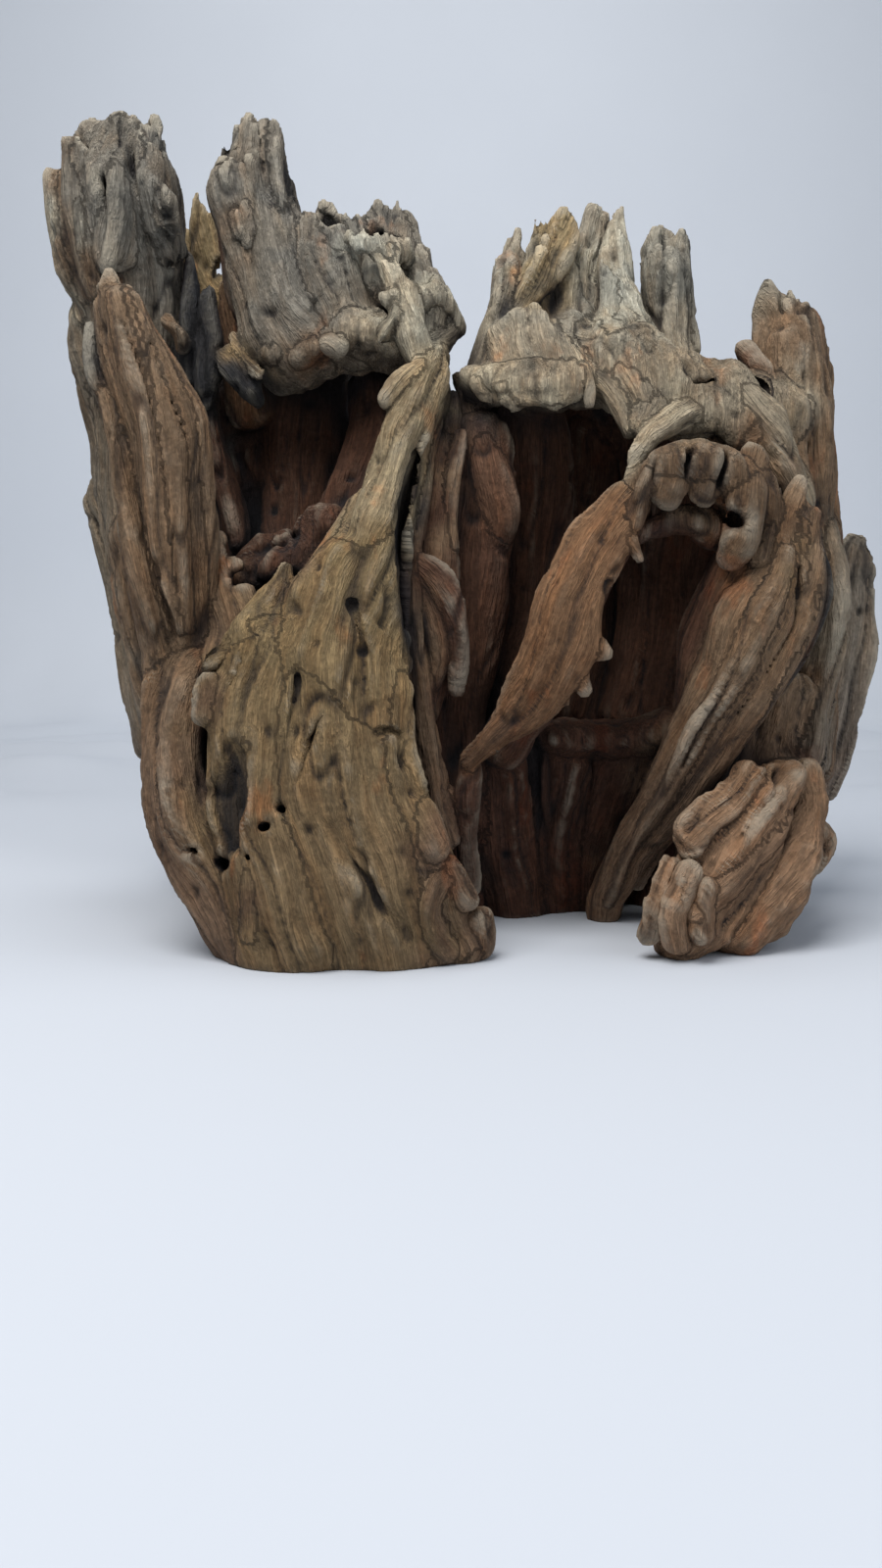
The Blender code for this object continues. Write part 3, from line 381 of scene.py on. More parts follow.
# ---------------------------------------------------------------- the wood, region by region
# Every station is (x, y, z, half width, half thickness) in grid units.
def add_back(wood):
    """Seven fused columns at the back with ribs, the trunk behind the hollows, and bridges."""
    wood.add("grey", 0.8, (-9.6, 4, 0, 2, 2), (-11, 4.6, 6, 2, 2), (-12.4, 5, 12, 1.9, 1.9),
             (-13.4, 4.4, 18, 1.8, 1.9), (-13.6, 3, 24, 1.7, 1.7), (-13.6, 2.2, 27.5, 1.3, 1.4),
             facing=(-0.6, 1, 0))
    wood.add("tan", 0.8, (-6.6, 7, 0, 2.2, 2), (-8, 7.8, 7, 2.4, 2.1), (-9.4, 7.4, 14, 2.2, 1.9),
             (-9.4, 6, 21, 1.9, 1.6), (-9.2, 5, 26, 1.2, 1.1), facing=(-0.3, 1, 0))
    wood.add("grey", 0.8, (-3.4, 8.6, 0, 2.3, 2.1), (-4.2, 9.2, 8, 2.5, 2.2), (-5, 8.4, 15, 2.3, 2),
             (-5, 6.8, 21, 2, 1.7), (-5, 5.2, 25.5, 1.4, 1.2), facing=BACK)
    wood.add("tan", 0.8, (0.4, 9, 0, 2.3, 2.1), (-0.2, 9.6, 8, 2.4, 2.2), (-0.6, 8.6, 14, 2.2, 1.9),
             (-0.4, 7.2, 18.4, 1.7, 1.5), (-0.2, 6.2, 21, 1, 1), facing=BACK)
    wood.add("grey", 0.8, (4, 9.2, 0, 2.4, 2.1), (4.2, 9.8, 8, 2.6, 2.2), (4.4, 8.8, 15, 2.4, 2),
             (4.6, 7, 21.5, 2.1, 1.7), (4.8, 5.4, 25, 1.2, 1.1), facing=(0.2, 1, 0))
    wood.add("tan", 0.8, (8, 8.2, 0, 2.3, 2), (8.8, 8.8, 8, 2.5, 2.1), (9.4, 7.8, 15, 2.4, 1.9),
             (9.8, 6, 21, 1.9, 1.6), (10, 4.6, 24.5, 1.2, 1), facing=(0.4, 1, 0))
    wood.add("grey", 0.8, (11.4, 5.4, 0, 2.1, 2), (13.2, 5.8, 6, 2.4, 2.1), (15, 5, 13, 2.2, 1.9),
             (15.4, 3.6, 19, 1.8, 1.7), (15, 2, 24, 1.3, 1.4), facing=(0.8, 1, 0))
    wood.add("grey", 0.8, (15.4, 5.4, 19.5, 1.6, 1), (16.4, 5.8, 14, 2, 1.2), (16.2, 5.8, 9, 2, 1.4),
             (14.4, 5.4, 4, 2, 1.7), facing=(0.5, 1, 0))
    wood.add("grey", 0.5, (-11.4, 6.4, 1, 0.6, 0.6), (-12.4, 7, 8, 0.7, 0.7), (-12.6, 6.6, 15, 0.7, 0.7),
             (-12.2, 5, 22, 0.6, 0.6), facing=BACK)
    wood.add("tan", 0.5, (-2.4, 10.6, 0, 0.7, 0.6), (-2.2, 11.2, 7, 0.8, 0.7), (-2.8, 10.4, 14, 0.8, 0.7),
             (-3, 8.6, 20, 0.6, 0.6), (-3.6, 6.8, 24, 0.4, 0.4), facing=BACK)
    wood.add("grey", 0.5, (6.4, 10.4, 0, 0.7, 0.6), (6.6, 11, 8, 0.8, 0.7), (7, 9.8, 15, 0.8, 0.6),
             (7.4, 7.6, 21, 0.6, 0.6), facing=BACK)
    wood.add("tan", 0.5, (10.4, 8.6, 9, 0.8, 0.8), (11.6, 8.8, 12, 1.2, 1), (12.2, 8, 16, 0.8, 0.8),
             facing=BACK)
    wood.add("umber", 0.8, (-6.4, 4.8, 0, 3.8, 3), (-7, 4.8, 8, 3.8, 2.8), (-7.4, 5.2, 16, 3.2, 2.2),
             (-7.4, 4.8, 20.5, 2.4, 1.4))
    wood.add("umber", 0.8, (0.2, 4.6, 0, 3.8, 3.4), (-0.2, 5, 8, 3.8, 3.2), (-0.6, 4.6, 15, 3.4, 2.8),
             (-0.6, 3.4, 19, 2.2, 1.8))
    wood.add("umber", 0.8, (-0.6, -1.4, 0, 2.4, 2.6), (-0.8, -1.2, 8, 2.4, 2.6), (-0.9, -0.6, 16, 2, 2.2),
             (-1, 0.2, 20.5, 1.6, 1.6))
    wood.add("umber", 0.8, (7, 4.6, 0, 3.8, 3.2), (7.4, 6, 8, 3.8, 2.4), (8, 6.6, 16, 3.6, 1.6))
    wood.add("umber", 0.8, (11, 2.4, 0, 2.6, 2.6), (12, 3.4, 7, 3, 2.4), (12.6, 4.8, 15, 2.8, 1.4))
    wood.add("umber", 0.8, (-4.6, -2.6, 0, 4.4, 5), (-5, -2.6, 4, 4.4, 4.8), (-5.4, -2.2, 9, 3.8, 3.6))
    wood.add("grey", 0.8, (-8, 3.4, 24, 1.6, 1.4), (-5.6, 2.2, 25.5, 1.6, 1.5), (-3.4, 0.6, 26.5, 1.2, 1.3),
             facing=UP)
    wood.add("umber", 0.8, (-9, 2.6, 20, 1.6, 1.5), (-6, 3.4, 21, 1.8, 1.5), (-3, 2.6, 20.5, 1.8, 1.5),
             (-1.6, 1.4, 18.2, 1.3, 1.3), facing=UP)
    wood.add("umber", 0.8, (4, 3, 24, 1.8, 1.5), (7, 3.6, 23, 1.8, 1.6), (10, 2.6, 22.8, 1.8, 1.6),
             (13.2, 1, 23, 1.6, 1.6), facing=UP)


def add_flanks(wood):
    """The outer sides of both halves below the crests."""
    wood.add("tan", 0.8, (11.6, 1.6, 0, 1.9, 2.2), (13.4, 1.6, 5, 1.8, 2.2), (15, 1.8, 10, 1.5, 2),
             (15.8, 1.4, 17, 1.2, 1.8), facing=(1, 0, 0))
    wood.add("tan", 0.8, (11.6, -2.4, 0, 1.6, 1.8), (12.8, -2.6, 5, 1.6, 2), (14.2, -2.2, 10, 1.3, 1.8),
             facing=(1, -0.4, 0))
    wood.add("tan", 0.8, (-8.6, 0.4, 0, 2, 2.2), (-10.2, 0.8, 6, 2, 2.2), (-11.8, 1.2, 12, 1.8, 2),
             (-12.8, 1.2, 17, 1.6, 1.9), facing=(-1, 0, 0))
    wood.add("tan", 0.8, (-7.6, -4, 0, 1.8, 2), (-9, -3.8, 4.5, 1.8, 2), (-10.6, -3.4, 9.5, 1.6, 1.8),
             facing=(-1, -0.5, 0))


def add_left_block(wood):
    """The tall knobbed block at the left end, its ribs, and the plate behind it."""
    wood.add("grey", 0.5, (-13.6, -0.5, 32.1, 2.35, 2.2), (-13.8, 0, 29.9, 2.4, 2.4),
             (-13.5, 0.5, 27.3, 2.1, 2.3), (-13.7, 1.2, 24.5, 2.1, 2.3), (-13.7, 2, 21.7, 1.9, 2.2),
             (-13.5, 2.5, 17.4, 1.9, 2.2), (-12.7, 2.5, 12.9, 1.9, 2.2), (-11.4, 1.5, 8.3, 2, 2.4),
             (-9.9, 0, 4.4, 2, 2.6), (-8.4, -2, 0.8, 2, 2.6))
    wood.add("tan", 0.3, (-15.1, -0.8, 32.9, 0.8, 1), (-15, -1.2, 30.5, 0.9, 1.2),
             (-14.6, -1.2, 28, 0.9, 1))
    wood.add("grey", 0.22, (-13.5, -0.9, 33.5, 0.68, 1), (-13.3, -1.6, 31.5, 0.8, 1.3),
             (-13.6, -2, 28.9, 0.7, 1))
    wood.add("grey", 0.22, (-12.3, -0.5, 33.6, 0.75, 1), (-11.9, -1.2, 31.7, 0.8, 1.3),
             (-11.7, -1, 29.8, 0.7, 1.1))
    wood.add("grey", 0.2, (-11.2, -2.2, 31, 0.4, 0.5), (-11.2, -2.4, 30.4, 0.45, 0.5))
    wood.add("pale", 0.3, (-15.2, -1.6, 31.9, 0.22, 0.3), (-14.9, -2.1, 30.2, 0.3, 0.4),
             (-14.9, -2, 28.7, 0.28, 0.3), (-14.7, -1.5, 27.3, 0.2, 0.3))
    wood.add("pale", 0.4, (-16.3, -0.4, 32, 0.42, 0.7), (-16.1, -0.6, 30.3, 0.5, 0.9),
             (-15.8, -0.4, 28.5, 0.5, 0.8), (-15.3, 0, 27.1, 0.6, 0.8))
    wood.add("grey", 0.4, (-11.6, 0.6, 27.5, 0.4, 0.8), (-11.3, 0.4, 25.6, 0.6, 1),
             (-10.9, 0.8, 23.2, 0.8, 1))
    wood.add("grey", 0.5, (-15.8, 1, 26.8, 0.5, 1.4), (-16, 1.4, 25.5, 0.62, 1.5),
             (-15.6, 2, 23.4, 0.8, 1.5), (-15, 2.4, 21.3, 0.9, 1.5), (-14.7, 2.8, 19.2, 1, 1.5))
    wood.add("grey", 0.3, (-16, 4, 20.2, 0.35, 0.3), (-15.7, 4, 19.3, 1.05, 0.4), (-15, 4, 17.1, 1.45, 0.5),
             (-14.4, 3.9, 13.8, 1.4, 0.6), (-13.9, 3.4, 10.6, 1.4, 0.7), (-12.9, 2.6, 7.3, 1.4, 0.9),
             facing=(-0.3, -1, 0))
    wood.cut(0.3, (-11.9, -3, 30.6, 0.35, 0.5), (-11.6, -3.2, 29.8, 0.4, 0.6), (-11.5, -3, 28.7, 0.3, 0.5))
    wood.cut(0.25, (-13.8, -2.4, 32.1, 0.12, 0.6), (-13.7, -3.2, 30.6, 0.14, 0.6),
             (-13.9, -3.2, 28.9, 0.12, 0.5))
    wood.cut(0.25, (-12.7, -1.6, 33.3, 0.12, 0.6), (-12.3, -3, 31.4, 0.14, 0.6),
             (-12.3, -3.3, 29.8, 0.1, 0.5))
    wood.cut(0.6, (-15.4, -2.4, 27.1, 0.5, 0.6), (-14, -3, 26.2, 0.6, 0.6), (-12.1, -2.8, 25.9, 0.6, 0.5))


def add_splinter(wood):
    """The long leaf-shaped splinter at the left of the hollow, with its rods and burnt edge."""
    wood.add("umber", 0.4, (-12.1, -3.4, 21.5, 1.2, 1.2), (-11.4, -3.2, 17.6, 1.4, 1.4),
             (-10.7, -3.2, 13.6, 1.5, 1.6), (-9.9, -4, 9.5, 1.6, 1.8))
    wood.add("tan", 0.15, (-12.8, -5.2, 27.2, 0.1, 0.14), (-12.9, -5.4, 26.1, 0.5, 0.4),
             (-12.5, -5.6, 24.7, 0.95, 0.5), (-11.5, -5.9, 21.8, 1.5, 0.7), (-11, -6, 19.9, 1.65, 0.8),
             (-10.5, -6.1, 16.3, 1.4, 0.85), (-10.2, -6, 12.7, 1, 0.8), (-10.1, -5.6, 11.2, 0.7, 0.7),
             facing=(-0.25, -1, 0))
    wood.add("tan", 0.06, (-13, -5.9, 21.8, 0.32, 0.34), (-12.6, -6.3, 19.8, 0.42, 0.45),
             (-11.9, -6.6, 15.9, 0.5, 0.55), (-11.4, -6.5, 13.4, 0.52, 0.6), (-10.9, -6, 10.8, 0.5, 0.55))
    wood.add("tan", 0.35, (-12.5, -5.8, 25.8, 0.2, 0.24), (-11.9, -6.3, 23.1, 0.3, 0.34),
             (-11.2, -6.8, 19.8, 0.36, 0.4), (-10.7, -7, 16.2, 0.36, 0.4), (-10.3, -6.8, 12.7, 0.3, 0.34))
    wood.add("tan", 0.35, (-11.9, -5.8, 25.4, 0.2, 0.22), (-11.1, -6.3, 22.8, 0.28, 0.3),
             (-10.3, -6.8, 19.8, 0.34, 0.36), (-9.9, -7, 16.2, 0.34, 0.4), (-9.8, -6.7, 12.7, 0.28, 0.34))
    wood.add("char", 0.08, (-13.6, -5.2, 24.8, 0.26, 0.3), (-13.4, -5.5, 22.9, 0.36, 0.42),
             (-12.9, -5.7, 21.1, 0.34, 0.42), (-12.5, -5.7, 18.1, 0.3, 0.36))
    wood.add("tan", 0.1, (-12.2, -5.5, 25.9, 0.16, 0.24), (-11.5, -5.7, 24.8, 0.26, 0.32),
             (-10.8, -5.8, 23.3, 0.3, 0.4), (-9.9, -5.9, 21.6, 0.34, 0.45), (-9.3, -6, 19.9, 0.36, 0.5),
             (-9.2, -5.9, 16.3, 0.36, 0.5), (-9.4, -5.6, 13.5, 0.38, 0.5), (-9.9, -5.2, 11.6, 0.4, 0.5))
    wood.add("tan", 0.08, (-9.3, -6, 20.4, 0.2, 0.2), (-9, -6.1, 20.1, 0.1, 0.1),
             (-8.8, -6.1, 19.9, 0.05, 0.05))
    wood.add("tan", 0.3, (-9.2, -4.8, 16.3, 0.5, 0.4), (-8.7, -5.2, 14.5, 1.1, 0.45),
             (-8.2, -5.9, 12.7, 1.1, 0.5), (-8.3, -6.6, 11.2, 1, 0.7))
    wood.cut(0.1, (-13, -6.3, 23.7, 0.1, 0.45), (-12.2, -6.9, 20.5, 0.15, 0.65),
             (-11.3, -7.4, 16.7, 0.18, 0.75), (-10.7, -7.4, 14.2, 0.16, 0.65),
             (-10.2, -6.9, 11.9, 0.12, 0.5))
    wood.cut(0.1, (-12, -6.5, 24.2, 0.1, 0.45), (-11.1, -7.2, 21.1, 0.12, 0.55),
             (-10.3, -7.7, 17.8, 0.12, 0.55), (-10, -7.5, 14.2, 0.11, 0.45))
    wood.cut(0.1, (-11.2, -6.5, 23.6, 0.08, 0.35), (-10, -7.1, 20.4, 0.1, 0.45),
             (-9.3, -7.2, 17.5, 0.1, 0.45), (-9.3, -6.9, 14.2, 0.09, 0.35))


def add_sheets(wood):
    """Thin light and orange sheets and burnt slivers between the block and the second spire."""
    wood.add("light", 0.2, (-10.9, 3.2, 32.8, 0.6, 0.22), (-10.9, 3.2, 31.1, 0.9, 0.3),
             (-10.5, 3, 29.3, 1.05, 0.35), (-9.5, 2.6, 27.4, 1.1, 0.4), (-9, 2.2, 25.6, 0.9, 0.4))
    wood.add("light", 0.2, (-11.5, 3.9, 31.3, 0.8, 0.3), (-11.1, 3.8, 28.6, 1.2, 0.5),
             (-10.5, 3.6, 26, 1.4, 0.6))
    wood.add("orange", 0.25, (-9.6, 2, 28.5, 0.4, 0.3), (-9.1, 1.5, 26.5, 0.85, 0.4),
             (-8.7, 0.9, 24.4, 0.9, 0.5), (-8.4, 0.8, 22.3, 0.9, 0.6))
    wood.cut(0.08, (-9.9, 2, 29.3, 0.3, 0.3), (-10.1, 3, 29.4, 0.32, 0.34), facing=UP)
    wood.add("char", 0.06, (-11.1, -0.4, 29.3, 0.1, 0.16), (-10.9, -0.5, 28.2, 0.24, 0.3),
             (-10.8, -0.8, 26.1, 0.36, 0.4), (-10.6, -0.8, 23.9, 0.45, 0.45))
    wood.add("char", 0.06, (-10.1, -1, 27.5, 0.16, 0.2), (-10, -1.2, 26, 0.32, 0.36),
             (-9.8, -1.4, 24.2, 0.4, 0.42), (-10.2, -1, 22.6, 0.4, 0.45))
    wood.add("char", 0.06, (-10.4, -1.3, 25.9, 0.1, 0.15), (-10.3, -1.5, 24.5, 0.24, 0.28),
             (-10.2, -1.4, 23, 0.3, 0.3))
    wood.add("char", 0.3, (-11, -0.3, 25.2, 0.7, 0.5), (-10.5, -0.2, 22.8, 0.7, 0.6),
             (-10.2, 0.2, 21.4, 0.6, 0.6))
    wood.add("char", 0.1, (-9.2, -1.6, 24.4, 0.5, 0.4), (-8.5, -2.3, 23.6, 0.5, 0.42),
             (-7.9, -2.4, 22.8, 0.36, 0.4), (-7.7, -2, 22.4, 0.2, 0.3))
    wood.add("tan", 0.15, (-11.6, -1.9, 26.2, 0.4, 0.4), (-11.2, -2, 25.9, 0.3, 0.35),
             (-11.1, -1.7, 25.4, 0.3, 0.3))


def add_second_spire(wood):
    """The second spire with its angular top, and the shoulder beside it."""
    wood.add("grey", 0.4, (-7.7, -0.2, 33.6, 1.1, 0.8), (-7.7, -0.3, 32.8, 1.6, 1),
             (-7.7, -0.6, 31.4, 1.85, 1.25), (-7.4, -0.8, 29.9, 1.85, 1.4), (-7, -1.2, 27.8, 1.95, 1.5),
             (-6.3, -1.6, 25.7, 2.1, 1.6), (-5.7, -1.6, 24.6, 2.2, 1.5))
    wood.add("grey", 0.1, (-7.1, -0.2, 34.1, 0.4, 0.45), (-6.8, -0.8, 32.8, 0.46, 0.6),
             (-6.5, -1.4, 31, 0.42, 0.5))
    wood.add("tan", 0.12, (-8.3, -0.1, 33.8, 0.4, 0.45), (-8.6, -0.5, 32.6, 0.5, 0.5),
             (-8.9, -0.7, 31.3, 0.5, 0.6))
    wood.add("grey", 0.1, (-6.1, -0.4, 32.6, 0.3, 0.5), (-5.9, -0.8, 31.2, 0.36, 0.6),
             (-5.8, -1.2, 29.8, 0.3, 0.5))
    wood.add("rust", 0.15, (-9.3, -0.3, 31.9, 0.3, 0.5), (-9.2, -0.6, 29.9, 0.32, 0.6),
             (-8.8, -0.8, 27.7, 0.36, 0.6), (-8.2, -1, 25.6, 0.4, 0.6))
    wood.add("tan", 0.15, (-8.1, -2.2, 30.1, 0.35, 0.35), (-8, -2.4, 29.7, 0.42, 0.4))
    wood.cut(0.15, (-7.8, -2.8, 29, 0.22, 0.45), (-7.7, -2.9, 28.3, 0.26, 0.55))
    wood.cut(0.1, (-7.5, -0.9, 33.9, 0.08, 0.55), (-7.2, -1.8, 32.4, 0.1, 0.45),
             (-7, -2.2, 31.1, 0.09, 0.35))
    wood.add("grey", 0.5, (-5.3, -0.8, 29.6, 0.85, 1.1), (-5, -1.2, 27.9, 1.6, 1.4),
             (-4.5, -1.5, 26, 1.9, 1.5), (-4.1, -1.6, 24.9, 1.7, 1.4))


def add_craters(wood):
    """Two hollow stubs, open at the top, right of the second spire."""
    wood.add("grey", 0.22, (-4.6, -0.5, 30.6, 0.95, 0.85), (-4.5, -1.1, 29.5, 0.98, 0.95),
             (-4.3, -1.4, 28.2, 0.85, 0.9))
    wood.add("grey", 0.15, (-5.5, -0.3, 31.1, 0.22, 0.35), (-5.3, -0.9, 29.7, 0.28, 0.4))
    wood.add("grey", 0.2, (-3.4, -0.3, 30.5, 0.38, 0.45), (-3.2, -1, 29.2, 0.45, 0.5))
    wood.add("grey", 0.22, (-2.4, 0.2, 30.6, 1.15, 0.95), (-2.4, -0.8, 29.1, 1.2, 1.1),
             (-2.4, -1.4, 27.3, 1.15, 1.1))
    wood.add("grey", 0.2, (-1.5, 0.2, 30.9, 0.5, 0.5), (-1.1, 0.2, 29.8, 0.5, 0.75),
             (-1, -0.4, 28.2, 0.6, 0.9), (-0.8, -0.8, 27.3, 0.6, 0.9))
    wood.cut(0.1, (-4.6, -0.6, 29.2, 0.4, 0.36), (-4.6, -1.2, 30.1, 0.68, 0.58),
             (-4.5, -1.8, 31.2, 0.85, 0.7), facing=MOUTH)
    wood.cut(0.1, (-2.5, -0.4, 28.6, 0.5, 0.4), (-2.4, -1.2, 29.7, 0.9, 0.7), (-2.3, -2.2, 31, 1.15, 0.9),
             facing=MOUTH)


def add_star(wood):
    """The star-shaped knot in front of the right crater, its arms and pockets."""
    wood.add("pale", 0.15, (-3.8, -2.6, 28.8, 0.14, 0.16), (-3, -3, 28.4, 0.45, 0.3),
             (-2, -2.9, 28.3, 0.5, 0.35), (-1.5, -2.2, 28.8, 0.4, 0.4))
    wood.add("pale", 0.25, (-2.4, -2.8, 28.6, 0.85, 0.26), (-2.1, -3.5, 27.3, 0.5, 0.4),
             (-1.6, -3.9, 26.2, 0.75, 0.5), (-1.3, -4, 24.9, 0.75, 0.6), (-1, -3.9, 23.8, 0.6, 0.6))
    wood.add("pale", 0.15, (-3.3, -3.6, 26, 0.06, 0.08), (-2.6, -3.9, 26, 0.26, 0.26),
             (-1.8, -4.1, 25.9, 0.45, 0.4))
    wood.add("pale", 0.15, (-2.8, -3.9, 23.9, 0.06, 0.08), (-2.3, -4.2, 24.6, 0.26, 0.28),
             (-1.7, -4.2, 25.3, 0.45, 0.4))
    wood.add("pale", 0.12, (-3.6, -3, 28.9, 0.05, 0.06), (-2.9, -3.1, 28.6, 0.26, 0.16),
             (-2.2, -3.2, 28.3, 0.4, 0.2))
    wood.cut(0.2, (-2.9, -4.4, 25.1, 0.3, 0.4), (-2.3, -4.7, 25.3, 0.2, 0.3))
    wood.cut(0.25, (-1.1, -4.9, 27.4, 0.25, 0.4), (-0.7, -4.5, 27.8, 0.35, 0.5))
    wood.add("pale", 0.22, (-1.8, -3.7, 26.6, 0.55, 0.5), (-0.8, -3.4, 26.6, 0.5, 0.5),
             (0, -3, 26.4, 0.5, 0.5), (0.5, -2.6, 26.2, 0.42, 0.5), (0.8, -2.4, 25.7, 0.3, 0.45))
    wood.add("grey", 0.5, (-3.2, -2, 24.9, 0.8, 0.8), (-1.9, -2.1, 24.5, 0.9, 0.8),
             (-0.8, -2.3, 24.2, 0.7, 0.7))
    wood.add("grey", 0.2, (0.7, -2.4, 25.6, 0.28, 0.4), (0.3, -2.6, 25, 0.36, 0.45),
             (-0.4, -3.2, 24.4, 0.5, 0.6))
    wood.add("grey", 0.35, (-0.9, -1.2, 28.3, 0.55, 0.9), (-0.5, -2, 26.5, 0.9, 1.2),
             (-0.5, -2.4, 25.1, 0.7, 1.2))
    wood.cut(0.25, (-0.4, -3.9, 25.3, 0.4, 0.6), (-0.1, -3.8, 24.8, 0.36, 0.6))
    wood.cut(0.4, (-3.1, -3.4, 27, 0.4, 0.7), (-3, -3.4, 26.1, 0.4, 0.6), (-3.3, -3.6, 24.9, 0.4, 0.5))


def add_brow(wood):
    """The beaded brow that hangs over the left hollow, with one long crack."""
    wood.add("grey", 0.5, (-7.8, -1.2, 24.9, 0.7, 0.9), (-6.1, -1.7, 24.7, 0.75, 1),
             (-4.2, -2.2, 24.8, 0.8, 1.1), (-2.2, -2.7, 24.7, 0.8, 1.1), (-1.1, -2.8, 24.5, 0.7, 1))
    wood.add("tan", 0.25, (-7.1, -2.8, 24.3, 0.3, 0.3), (-6.7, -2.9, 24.1, 0.3, 0.3))
    wood.add("tan", 0.25, (-5.7, -3.2, 24, 0.35, 0.3), (-5.3, -3.3, 24.2, 0.3, 0.3))
    wood.add("tan", 0.25, (-4.5, -3.6, 24.3, 0.28, 0.28), (-4.1, -3.5, 24, 0.2, 0.25))
    wood.cut(0.06, (-5.7, -2.1, 29.4, 0.06, 0.25), (-5.2, -2.6, 28.3, 0.08, 0.3),
             (-4.5, -3, 27.2, 0.08, 0.3), (-5.2, -3.1, 26.1, 0.07, 0.25), (-4.5, -3.5, 25.1, 0.09, 0.3),
             (-3.8, -4, 23.8, 0.08, 0.3))
    wood.cut(0.5, (-5.2, -3.4, 25.4, 0.4, 0.3), (-4.5, -3.3, 26.2, 0.5, 0.3))


def add_left_hollow(wood):
    """The back of the left hollow, its shelf with small holes, and a curled shaving."""
    wood.add("umber", 0.5, (-9, 2.6, 23.6, 1.6, 0.8), (-8.8, 2.6, 20, 1.9, 0.9), (-8.6, 1.4, 16.4, 2.1, 1),
             (-8, -1.5, 13.6, 2, 1.2), (-7.6, -4.4, 11.1, 1.8, 1.2))
    wood.add("umber", 0.5, (-6.2, 1.8, 23.8, 1.7, 0.9), (-6.2, 1.6, 20.3, 1.9, 1),
             (-6.3, 0.3, 17.1, 1.9, 1), (-6.2, -2.6, 14.4, 1.7, 1.1), (-6.1, -5.4, 11.9, 1.6, 1.1))
    wood.add("umber", 0.5, (-3, 0.4, 23.5, 1.3, 1), (-3, -0.2, 20.9, 1.3, 1.1),
             (-3.8, -1.8, 17.7, 1.3, 1.1), (-4.8, -4.4, 14.7, 1.3, 1.1))
    wood.add("umber", 0.25, (-9.9, -0.6, 22.1, 0.36, 0.5), (-9.7, -0.2, 20.5, 0.5, 0.7),
             (-9.3, 0, 18.4, 0.45, 0.7), (-9, -0.6, 16.2, 0.4, 0.6))
    wood.add("umber", 0.4, (-9.1, -3.4, 14.8, 1, 0.6), (-7.7, -3.4, 15.4, 1.3, 0.7),
             (-6, -3.8, 15.9, 1.2, 0.8), (-4.8, -4, 16.8, 1, 0.8), facing=(0, -0.6, 1))
    wood.cut(0.12, (-8.5, -4.6, 15.8, 0.4, 0.5), (-7.7, -4.3, 16.1, 0.5, 0.6),
             (-6.8, -4.3, 16.2, 0.34, 0.5), facing=(0, -0.7, 0.7))
    wood.cut(0.1, (-6.1, -5.4, 16.4, 0.2, 0.2), (-6.3, -3.4, 16.6, 0.2, 0.2), facing=UP)
    wood.cut(0.15, (-8.1, -5.2, 14.7, 0.4, 0.3), (-7.3, -5.2, 14.9, 0.36, 0.3), facing=(0, -0.7, 0.7))
    wood.add("light", 0.06, (-8.9, -1.8, 25.3, 0.2, 0.14), (-8, -2.5, 24.1, 0.26, 0.13),
             (-7.2, -2.9, 23.4, 0.28, 0.12), (-6.8, -3.1, 22.5, 0.2, 0.12), (-7, -3, 21.7, 0.08, 0.08))
    wood.cut(0.2, (-9.2, 0.9, 22.4, 0.1, 0.35), (-8.7, 1.1, 19.8, 0.12, 0.35), (-8.2, 0.2, 17.6, 0.1, 0.35))
    wood.cut(0.2, (-7.2, 0.5, 23.1, 0.1, 0.35), (-7.1, 0.4, 20.6, 0.12, 0.35),
             (-7.3, -0.6, 17.9, 0.1, 0.35))
    wood.cut(0.2, (-4.7, 0.1, 23, 0.1, 0.35), (-4.9, -0.2, 20.9, 0.12, 0.35), (-5.3, -1, 18.7, 0.1, 0.35))


